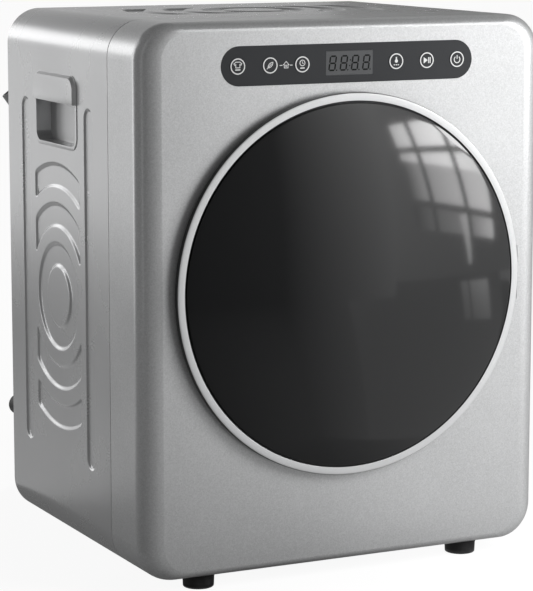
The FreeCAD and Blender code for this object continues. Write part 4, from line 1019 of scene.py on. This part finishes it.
def leaf_sign(bm, place):
    edge = arc(3.0, -2.6, 5.8, 90, 180, 10) + arc(-2.8, 3.2, 5.8, 270, 360, 10)[1:-1]
    printed_line(bm, place, edge, SIGN_LINE, True)
    printed_line(bm, place, [(-4.2, -4.0), (-1.2, -1.0), (1.4, 1.6)], SIGN_LINE)


def clock_sign(bm, place):
    printed_line(bm, place, [(x, y + 1.5) for x, y in circle(3.0, 32)], SIGN_LINE, True)
    printed_line(bm, place, [(0.0, 3.2), (0.0, 1.4), (1.4, 0.7)], SIGN_FINE)
    printed_line(bm, place, [(-2.6, -3.9), (2.6, -3.9)], SIGN_DASH)


def heat_sign(bm, place):
    stem = arc(0, 3.9, 0.8, 0, 180, 8)
    bulb = arc(0, 0.2, 1.9, 115, 425, 20)
    printed_patch(bm, place, stem + bulb)
    for x in (-2.4, 0.0, 2.4):
        printed_line(bm, place, [(x - 0.8, -3.9), (x + 0.8, -3.9)], SIGN_BOLD)


def start_sign(bm, place):
    printed_patch(bm, place, [(-4.0, 3.4), (-4.0, -3.4), (1.0, 0.0)])
    for x in (2.1, 4.0):
        printed_line(bm, place, [(x, -3.2), (x, 3.2)], SIGN_BAR)


def power_sign(bm, place):
    printed_line(bm, place, arc(0, -0.3, 3.6, 128, 412, 28), SIGN_BOLD)
    printed_line(bm, place, [(0, 0.4), (0, 4.4)], SIGN_BOLD)


def lock_sign(bm, place):
    """House with a dash on each side, for the child lock."""
    house = [(-3.3, 0.2), (0.0, 3.6), (3.3, 0.2), (2.2, 0.2), (2.2, -3.2), (-2.2, -3.2), (-2.2, 0.2)]
    printed_line(bm, place, house, SIGN_FINE, True)
    printed_line(bm, place, [(x, y - 1.0) for x, y in circle(0.8, 12)], SIGN_HAIR, True)
    for side in (-1, 1):
        printed_line(bm, place, [(side * 4.4, -0.4), (side * 7.6, -0.4)], SIGN_LINE)


KEY_SIGNS = {
    "program": shirt_sign, "eco": leaf_sign, "time": clock_sign,
    "heat": heat_sign, "start": start_sign, "power": power_sign,
}


def key_prints():
    """White ring and sign on each key, and the lock sign between two of them."""
    places = {}
    for name, sign in KEY_SIGNS.items():
        low, high = box_mm("key_" + name)
        places[name] = (low.x + high.x) / 2
        place = ink_place(places[name], PANEL_Z, low.y)
        bm = bmesh.new()
        printed_line(bm, place, circle(KEY_PRINT_R, 64), KEY_PRINT_W, True)
        sign(bm, place)
        piece(f"{name}_print", ink_mesh(bm, f"{name}_print"), PRINT, f"{name}_key", "key_cap")
    bm = bmesh.new()
    lock_sign(bm, ink_place((places["eco"] + places["time"]) / 2, PANEL_Z, PANEL_LOW.y))
    piece("lock_print", ink_mesh(bm, "lock_print"), PRINT, "cabinet", "fascia")


def digit_bars():
    """Outlines of a digit's seven bars about its middle."""
    wide, tall, thick = DIGIT_W / 2, DIGIT_H / 2, DIGIT_BAR / 2

    def bar(start, end):
        """Pointed bar, as places along it and across it."""
        a, b = start + DIGIT_GAP, end - DIGIT_GAP
        side = [(a, 0), (a + thick, thick), (b - thick, thick)]
        return side + [(b, 0), (b - thick, -thick), (a + thick, -thick)]

    flat = [[(u, v + across) for u, across in bar(-wide, wide)] for v in (-tall, 0.0, tall)]
    ends = [(u, low) for u in (-wide, wide) for low in (-tall, 0.0)]
    return flat + [[(u + across, v) for v, across in bar(low, low + tall)] for u, low in ends]


def display_digits():
    """Four slanted digits of seven bars, a colon and points."""
    surface = box_mm("display_window")[0].y
    dot = circle(POINT_R, 12)
    bm = bmesh.new()
    for number in range(4):
        place = ink_place((number - 1.5) * DIGIT_PITCH, PANEL_Z, surface)

        def slanted(u, v, up, place=place):
            return place(u + v * DIGIT_SLANT, v, up)

        for bar in digit_bars():
            printed_patch(bm, slanted, bar)
        printed_patch(bm, slanted, [(x + DIGIT_W / 2 + POINT_OFF, y - DIGIT_H / 2) for x, y in dot])
    for v in (-COLON_Z, COLON_Z):
        printed_patch(bm, ink_place(COLON_X + v * DIGIT_SLANT, PANEL_Z + v, surface), dot)
    piece("display_digits", ink_mesh(bm, "display_digits"), DIGIT, "cabinet", "display")


# Grips

def soft_grips():
    """Moulded grips with rounded edges."""
    for side in ("left", "right"):
        bm = bmesh.new()
        bm.from_mesh(NODES[side + "_grip"].data)
        bmesh.ops.scale(bm, vec=(1 / MM, 1 / MM, 1 / MM), verts=bm.verts)
        bmesh.ops.remove_doubles(bm, verts=bm.verts, dist=WELD)
        bmesh.ops.dissolve_limit(bm, angle_limit=math.radians(FLAT_BELOW), verts=bm.verts, edges=bm.edges)
        thing = add("grip", mesh_from(bm, "grip"))
        edge = thing.modifiers.new("edge", "BEVEL")
        edge.width = GRIP_EDGE * MM
        edge.segments = GRIP_EDGE_STEPS
        edge.limit_method = "ANGLE"
        edge.angle_limit = math.radians(ROUND_PAST)
        name = side + "_grip_moulding"
        mesh = smoothed(finished(thing, name), SMALL_SHARP)
        piece(name, mesh, SILVER_WRAP, "cabinet", "grip", side + "_grip")


# Repeated pieces

def loose_boxes(node):
    """Box of each loose part of a solid, in millimetres."""
    bm = bmesh.new()
    bm.from_mesh(NODES[node].data)
    bmesh.ops.remove_doubles(bm, verts=bm.verts, dist=WELD * MM)
    left, boxes = set(bm.verts), []
    while left:
        edge, part = [left.pop()], []
        while edge:
            vert = edge.pop()
            part.append(vert.co / MM)
            fresh = [link.other_vert(vert) for link in vert.link_edges]
            fresh = [other for other in fresh if other in left]
            left.difference_update(fresh)
            edge += fresh
        boxes.append([
            Vector([ends(spot[axis] for spot in part) for axis in range(3)]) for ends in (min, max)
        ])
    bm.free()
    return boxes


def screw_head():
    """Pan head with a cross recess, one millimetre in radius and in height. Its top faces the back."""
    bm = bmesh.new()
    rings = []
    for r, high in SCREW_OUTLINE:
        rings.append(loop_of(bm, [(x, high, z) for x, z in circle(r, 20)]))
    for first, second in zip(rings, rings[1:]):
        bridge(bm, first, second)
    quarter = [(CROSS_ARM, CROSS_SLOT), (CROSS_SLOT, CROSS_SLOT), (CROSS_SLOT, CROSS_ARM)]
    cross = quarter + [(-x, z) for x, z in reversed(quarter)]
    cross += [(x, -z) for x, z in reversed(cross)]
    cross = list(dict.fromkeys(cross))
    edge, floor = (loop_of(bm, [(x * size, high, z * size) for x, z in cross]) for size, high in CROSS_RINGS)
    fill(bm, rings[-1], edge)
    bridge(bm, edge, floor)
    fill(bm, floor)
    bm.faces.new(rings[0])
    bmesh.ops.recalc_face_normals(bm, faces=bm.faces)
    return add("screw_head", smoothed(mesh_from(bm, "screw_head"), SMALL_SHARP))


def discard(thing):
    mesh = thing.data
    bpy.data.objects.remove(thing)
    bpy.data.meshes.remove(mesh)


def screws(name, node, body):
    """Cross-headed screws in place of plain ones, each turned its own way."""
    boxes = loose_boxes(node)
    low, high = boxes[0]
    head = screw_head()
    tree = Pattern("screws", Head=head, Radius=(high.x - low.x) / 2, Height=high.y - low.y, Seed=SCREW_SEED)
    chance = {2: 0.0, 3: 2 * math.pi, "Seed": tree.size("Seed")}
    turn = tree.node("FunctionNodeRandomValue", {"data_type": "FLOAT"}, chance, 1)
    spin = tree.node("FunctionNodeAxisAngleToRotation", None, {"Axis": (0.0, 1.0, 0.0), "Angle": turn})
    grow = tree.vector(tree.size("Radius"), tree.size("Height"), tree.size("Radius"))
    many = tree.repeat(tree.size("Points"), tree.shape_of("Head"), Rotation=spin, Scale=grow)
    spots = [Vector(((low.x + high.x) / 2, low.y, (low.z + high.z) / 2)) * MM for low, high in boxes]
    piece(name, smoothed(tree.made(name, many, STEEL, spots), SMALL_SHARP), STEEL, body, "steel", node)
    discard(head)


class Plugs(Pattern):
    """Dark plugs in a sheet of the drum, a hair longer than the sheet is thick. Their near-black colour is
    painted shade in place of real holes.
    """

    def __init__(self, name, **sizes):
        super().__init__(name, Hole=HOLE_R * MM, Depth=(DRUM_WALL + HOLE_PROUD) * MM, **sizes)
        inputs = {"Vertices": HOLE_SIDES, "Radius": self.size("Hole"), "Depth": self.size("Depth")}
        self.plug = self.node("GeometryNodeMeshCylinder", None, inputs)
        self.place = self.node("GeometryNodeInputPosition")

    def set_in(self, name, many, depth, turn):
        """Piece of the plugs, turned to face the front at a depth on the drum's axis."""
        middle = Vector((0.0, depth, AXIS_Z)) * MM
        inputs = {"Geometry": many, "Translation": middle, "Rotation": (math.pi / 2, turn, 0.0)}
        mesh = self.made(name, self.node("GeometryNodeTransform", None, inputs), HOLE_SHADE)
        piece(mesh.name, smoothed(mesh, SMALL_SHARP), HOLE_SHADE, "drum", "drum_steel")


def drum_holes():
    """Dark plugs where air holes would go through the drum's wall and its rear disc, painted as the shade
    seen through a hole.
    """
    shell, disc = box_mm("drum_shell"), box_mm("drum_rear_wall")
    front, back = shell[0].y + HOLE_START, disc[0].y - HOLE_START / 2
    sizes = {"Drum": (shell[1].x - DRUM_WALL / 2) * MM, "Long": (back - front) * MM}
    tree = Plugs("drum_holes", Around=HOLES_AROUND, Rows=HOLE_ROWS, **sizes)
    inputs = {"Vertices": "Around", "Side Segments": "Rows", "Radius": "Drum", "Depth": "Long"}
    inputs = {socket: tree.size(name) for socket, name in inputs.items()}
    points = tree.node("GeometryNodeMeshCylinder", {"fill_type": "NONE"}, inputs)
    out = tree.vectors("MULTIPLY", tree.place, (1.0, 1.0, 0.0))
    aim = tree.node("FunctionNodeAlignRotationToVector", {"axis": "Z"}, {"Vector": out})
    tree.set_in("shell_holes", tree.repeat(points, tree.plug, Rotation=aim), (front + back) / 2, 0.0)

    sizes = {"Outer": (disc[1].x - REAR_HOLE_EDGE) * MM, "Inner": REAR_HOLE_INNER * MM}
    tree = Plugs("rear_holes", Count=REAR_HOLES, **sizes)
    wide, count = tree.size("Outer") * 2.0, tree.size("Count")
    inputs = {"Size X": wide, "Size Y": wide, "Vertices X": count, "Vertices Y": count}
    points = tree.node("GeometryNodeMeshGrid", None, inputs)
    far = tree.vectors("LENGTH", tree.place, (0.0, 0.0, 0.0), "Value")
    kept = tree.maths("LESS_THAN", far, tree.size("Outer"))
    kept = kept * tree.maths("GREATER_THAN", far, tree.size("Inner"))
    many = tree.repeat(points, tree.plug, Selection=kept)
    tree.set_in("rear_holes", many, disc[1].y - DRUM_WALL / 2, math.pi / 4)


def louvre_hood():
    """Pressed hood over one air slot, open below, about the middle of the slot."""
    bm = bmesh.new()
    half, bends, spans, rows = LOUVRE_W / 2, 8, 24, []
    for step in range(bends + 1):
        turn = math.pi / 2 * step / bends
        row = []
        for across in range(spans + 1):
            x = half * (2 * across / spans - 1)
            past = max(abs(x) - half + LOUVRE_END, 0) / LOUVRE_END
            proud = LOUVRE_PROUD * math.sqrt(max(1 - past * past, 0)) * math.sin(turn)
            row.append((x, proud, LOUVRE_H - LOUVRE_RISE * (1 - math.cos(turn))))
        rows.append(row)
    strip(bm, rows)
    turn_outwards(bm, Vector((0, -LOUVRE_W, -LOUVRE_W)))
    bmesh.ops.solidify(bm, geom=bm.faces[:], thickness=LOUVRE_T)
    return add("louvre_hood", smoothed(mesh_from(bm, "louvre_hood"), HOOD_SHARP))


def louvres():
    """Row of pressed hoods over the air slots of the rear panel."""
    hood = louvre_hood()
    tree = Pattern("louvres", Hood=hood, Count=LOUVRES, Pitch=LOUVRE_PITCH * MM)
    low = LOUVRE_Z - (LOUVRES - 1) / 2 * LOUVRE_PITCH
    start = Vector((LOUVRE_X, box_mm("rear_panel")[1].y, low)) * MM
    step = tree.vector(0.0, 0.0, tree.size("Pitch"))
    inputs = {"Count": tree.size("Count"), "Start Location": start, "Offset": step}
    points = tree.node("GeometryNodeMeshLine", None, inputs)
    many = tree.repeat(points, tree.shape_of("Hood"))
    mesh = smoothed(tree.made("louvre_hoods", many, GALVANISED), HOOD_SHARP)
    piece("louvre_hoods", mesh, GALVANISED, "cabinet", "galvanised")
    discard(hood)


# Light

def area(name, place, aim, width, tall, radiance):
    """Rectangular lamp that shines along aim with one radiance all over."""
    lamp = bpy.data.lights.new(name, "AREA")
    lamp.shape = "RECTANGLE"
    lamp.size, lamp.size_y = width, tall
    lamp.energy = radiance * math.pi * width * tall
    thing = add(name, lamp)
    thing.location = place
    look_along(thing, aim)
    thing.visible_camera = False
    return thing


def card_paper():
    """Glow of the studio cards, whose shade each vertex holds."""
    finish = Finish("card_paper")
    shade = finish.node("ShaderNodeAttribute", {"attribute_name": "shade"}, None, "Color")
    finish.show(finish.node("ShaderNodeEmission", None, {"Color": shade}))
    return finish.material


CARD_PAPER = card_paper()


def card(name, corners, shades):
    """Studio card that only reflections see. Its shade changes evenly between its four corners."""
    steps = 16
    bm = bmesh.new()
    layer = bm.verts.layers.float.new("shade")
    rows = []
    for row in range(steps + 1):
        v = row / steps
        rows.append([])
        for column in range(steps + 1):
            u = column / steps
            weights = ((1 - u) * (1 - v), u * (1 - v), u * v, (1 - u) * v)
            place = sum((corner * weight for corner, weight in zip(corners, weights)), Vector((0, 0, 0)))
            vert = bm.verts.new(place / MM)
            vert[layer] = sum(shade * weight for shade, weight in zip(shades, weights))
            rows[-1].append(vert)
    for low, high in zip(rows, rows[1:]):
        for step in range(steps):
            bm.faces.new((low[step], low[step + 1], high[step + 1], high[step]))
    thing = add(name, mesh_from(bm, name))
    thing.data.materials.append(CARD_PAPER)
    thing.visible_camera = False
    thing.visible_diffuse = False
    thing.visible_transmission = False
    thing.visible_shadow = False
    return thing


def window(middle):
    """Panes of a leaning window that only reflections see."""
    back = direction(WINDOW_AZIMUTH, WINDOW_ELEVATION)
    across = direction(WINDOW_AZIMUTH + 90, 0)
    upward = direction(WINDOW_AZIMUTH, WINDOW_ELEVATION + 90)
    centre = middle + back * WINDOW_DISTANCE

    def corner(upright, rail, sideways, upwards):
        """Where an upright crosses a rail, half a bar aside where they are bars."""
        (u, lean), (v, slope) = WINDOW_UPRIGHTS[upright], WINDOW_RAILS[rail]
        if 0 < upright < len(WINDOW_UPRIGHTS) - 1:
            u = u + sideways * WINDOW_BAR / 2
        if WINDOW_BARRED[rail]:
            v = v + upwards * WINDOW_BAR / 2
        rise = (v + slope * u) / (1 - slope * lean)
        return centre + across * (u + lean * rise) + upward * rise

    for row, glow in enumerate(WINDOW_GLOW):
        for column in range(len(glow) - 1):
            corners = [corner(column, row + 1, 1, 1), corner(column + 1, row + 1, -1, 1),
                       corner(column + 1, row, -1, -1), corner(column, row, 1, -1)]
            left, right = glow[column:column + 2]
            card(f"pane_{row}{column}", corners, (left, right, right, left))
    nearer = centre - back * GLINT_NEARER
    card("window_glint", [nearer + across * u + upward * v for u, v in WINDOW_GLINT], GLINT_GLOW)


def around(azimuth, radius, height):
    """Point at a distance from the part's upright axis."""
    return direction(azimuth, 0) * radius + Vector((0, 0, height))


def round_card(name, first, last, start, end, shades):
    """Card between two azimuths and two edges, each at a distance and a height."""
    corners = [around(first, *start), around(last, *start), around(last, *end), around(first, *end)]
    return card(name, corners, shades)


def make_world():
    """White surroundings, and an even dim light from all round."""
    world = bpy.data.worlds.new("studio")
    bpy.context.scene.world = world
    world.use_nodes = True
    nodes = Nodes(world.node_tree)
    sky = world.node_tree.nodes["Background"]
    nodes.join((1.0, 1.0, 1.0), sky.inputs["Color"])
    level = {"Value": nodes.seen(), "To Min": SKY_LIGHT, "To Max": 1.0}
    nodes.join(nodes.node("ShaderNodeMapRange", None, level), sky.inputs["Strength"])


def make_floor():
    """Pale floor that stays white and keeps a soft shadow."""
    bm = bmesh.new()
    bmesh.ops.create_grid(bm, x_segments=1, y_segments=1, size=FLOOR_HALF / MM)
    floor = add("floor", mesh_from(bm, "floor"))
    finish = Finish("floor_paper", Roughness=0.9, Specular_IOR_Level=0.0)
    paper = finish.noise(40.0, 4.0)
    finish.set(Base_Color=finish.mix(paper, (0.78, 0.78, 0.78), (0.82, 0.82, 0.82)))
    glow = finish.node("ShaderNodeEmission", None, {"Strength": FLOOR_GLOW})
    lit = Value(finish, finish.shader.outputs[0])
    finish.show(finish.node("ShaderNodeMixShader", None, {0: finish.seen() * FLOOR_SHARE, 1: lit, 2: glow}))
    floor.data.materials.append(finish.material)


def make_cards():
    """Grey cards round the part, which give the paint and the dome something to mirror."""
    for name, (first, last, distance, low, high, shades) in WALL_CARDS.items():
        round_card(name, first, last, (distance, low), (distance, high), shades)
    for first, last, under, far_first, far_last in INNER_FLOOR:
        near, far = (INNER_NEAR, RAISED), (INNER_FAR, RAISED)
        shades = (under, under, far_last, far_first)
        dark = round_card(f"inner_floor_{first - FIRST_AZIMUTH}", first, last, near, far, shades)
        # Unlike the others it is seen by diffuse light too, and keeps the floor's glow off the edges above it
        dark.visible_diffuse = True
    for name, (first, last, near, far, high, shades) in FLOOR_CARDS.items():
        round_card(name, first, last, (near, high), (far, high), shades)
    for first in range(FIRST_AZIMUTH, FIRST_AZIMUTH + 360, CEILING_TURN):
        name, last = f"ceiling_{first - FIRST_AZIMUTH}", first + CEILING_TURN
        round_card(name, first, last, (0.0, CEILING_Z), (CEILING_R, CEILING_Z), CEILING_SHADES)


def make_light():
    bpy.context.scene.view_settings.view_transform = "Standard"
    make_world()
    make_floor()
    make_cards()
    door = Vector((0.0, FACE_Y, AXIS_Z)) * MM
    middle = Vector((0.0, 0.0, (CAB_LOW + CAB_TOP) / 2)) * MM
    window(door)
    key = area("key", KEY_PLACE, door - KEY_PLACE, KEY_SIZE, KEY_SIZE, KEY_RADIANCE)
    key.visible_glossy = False
    for name, (azimuth, elevation, distance, width, tall, radiance) in REAR_LAMPS.items():
        back = direction(azimuth, elevation)
        area(name, middle + back * distance, -back, width, tall, radiance)


make_camera()
dress_solids()
cabinet_sheet()
door_front()
door_rubber()
mouth_felt()
feet()
key_prints()
display_digits()
soft_grips()
screws("panel_screw_heads", "panel_screws", "cabinet")
screws("door_screw_heads", "door_screws", "door")
drum_holes()
louvres()
make_light()
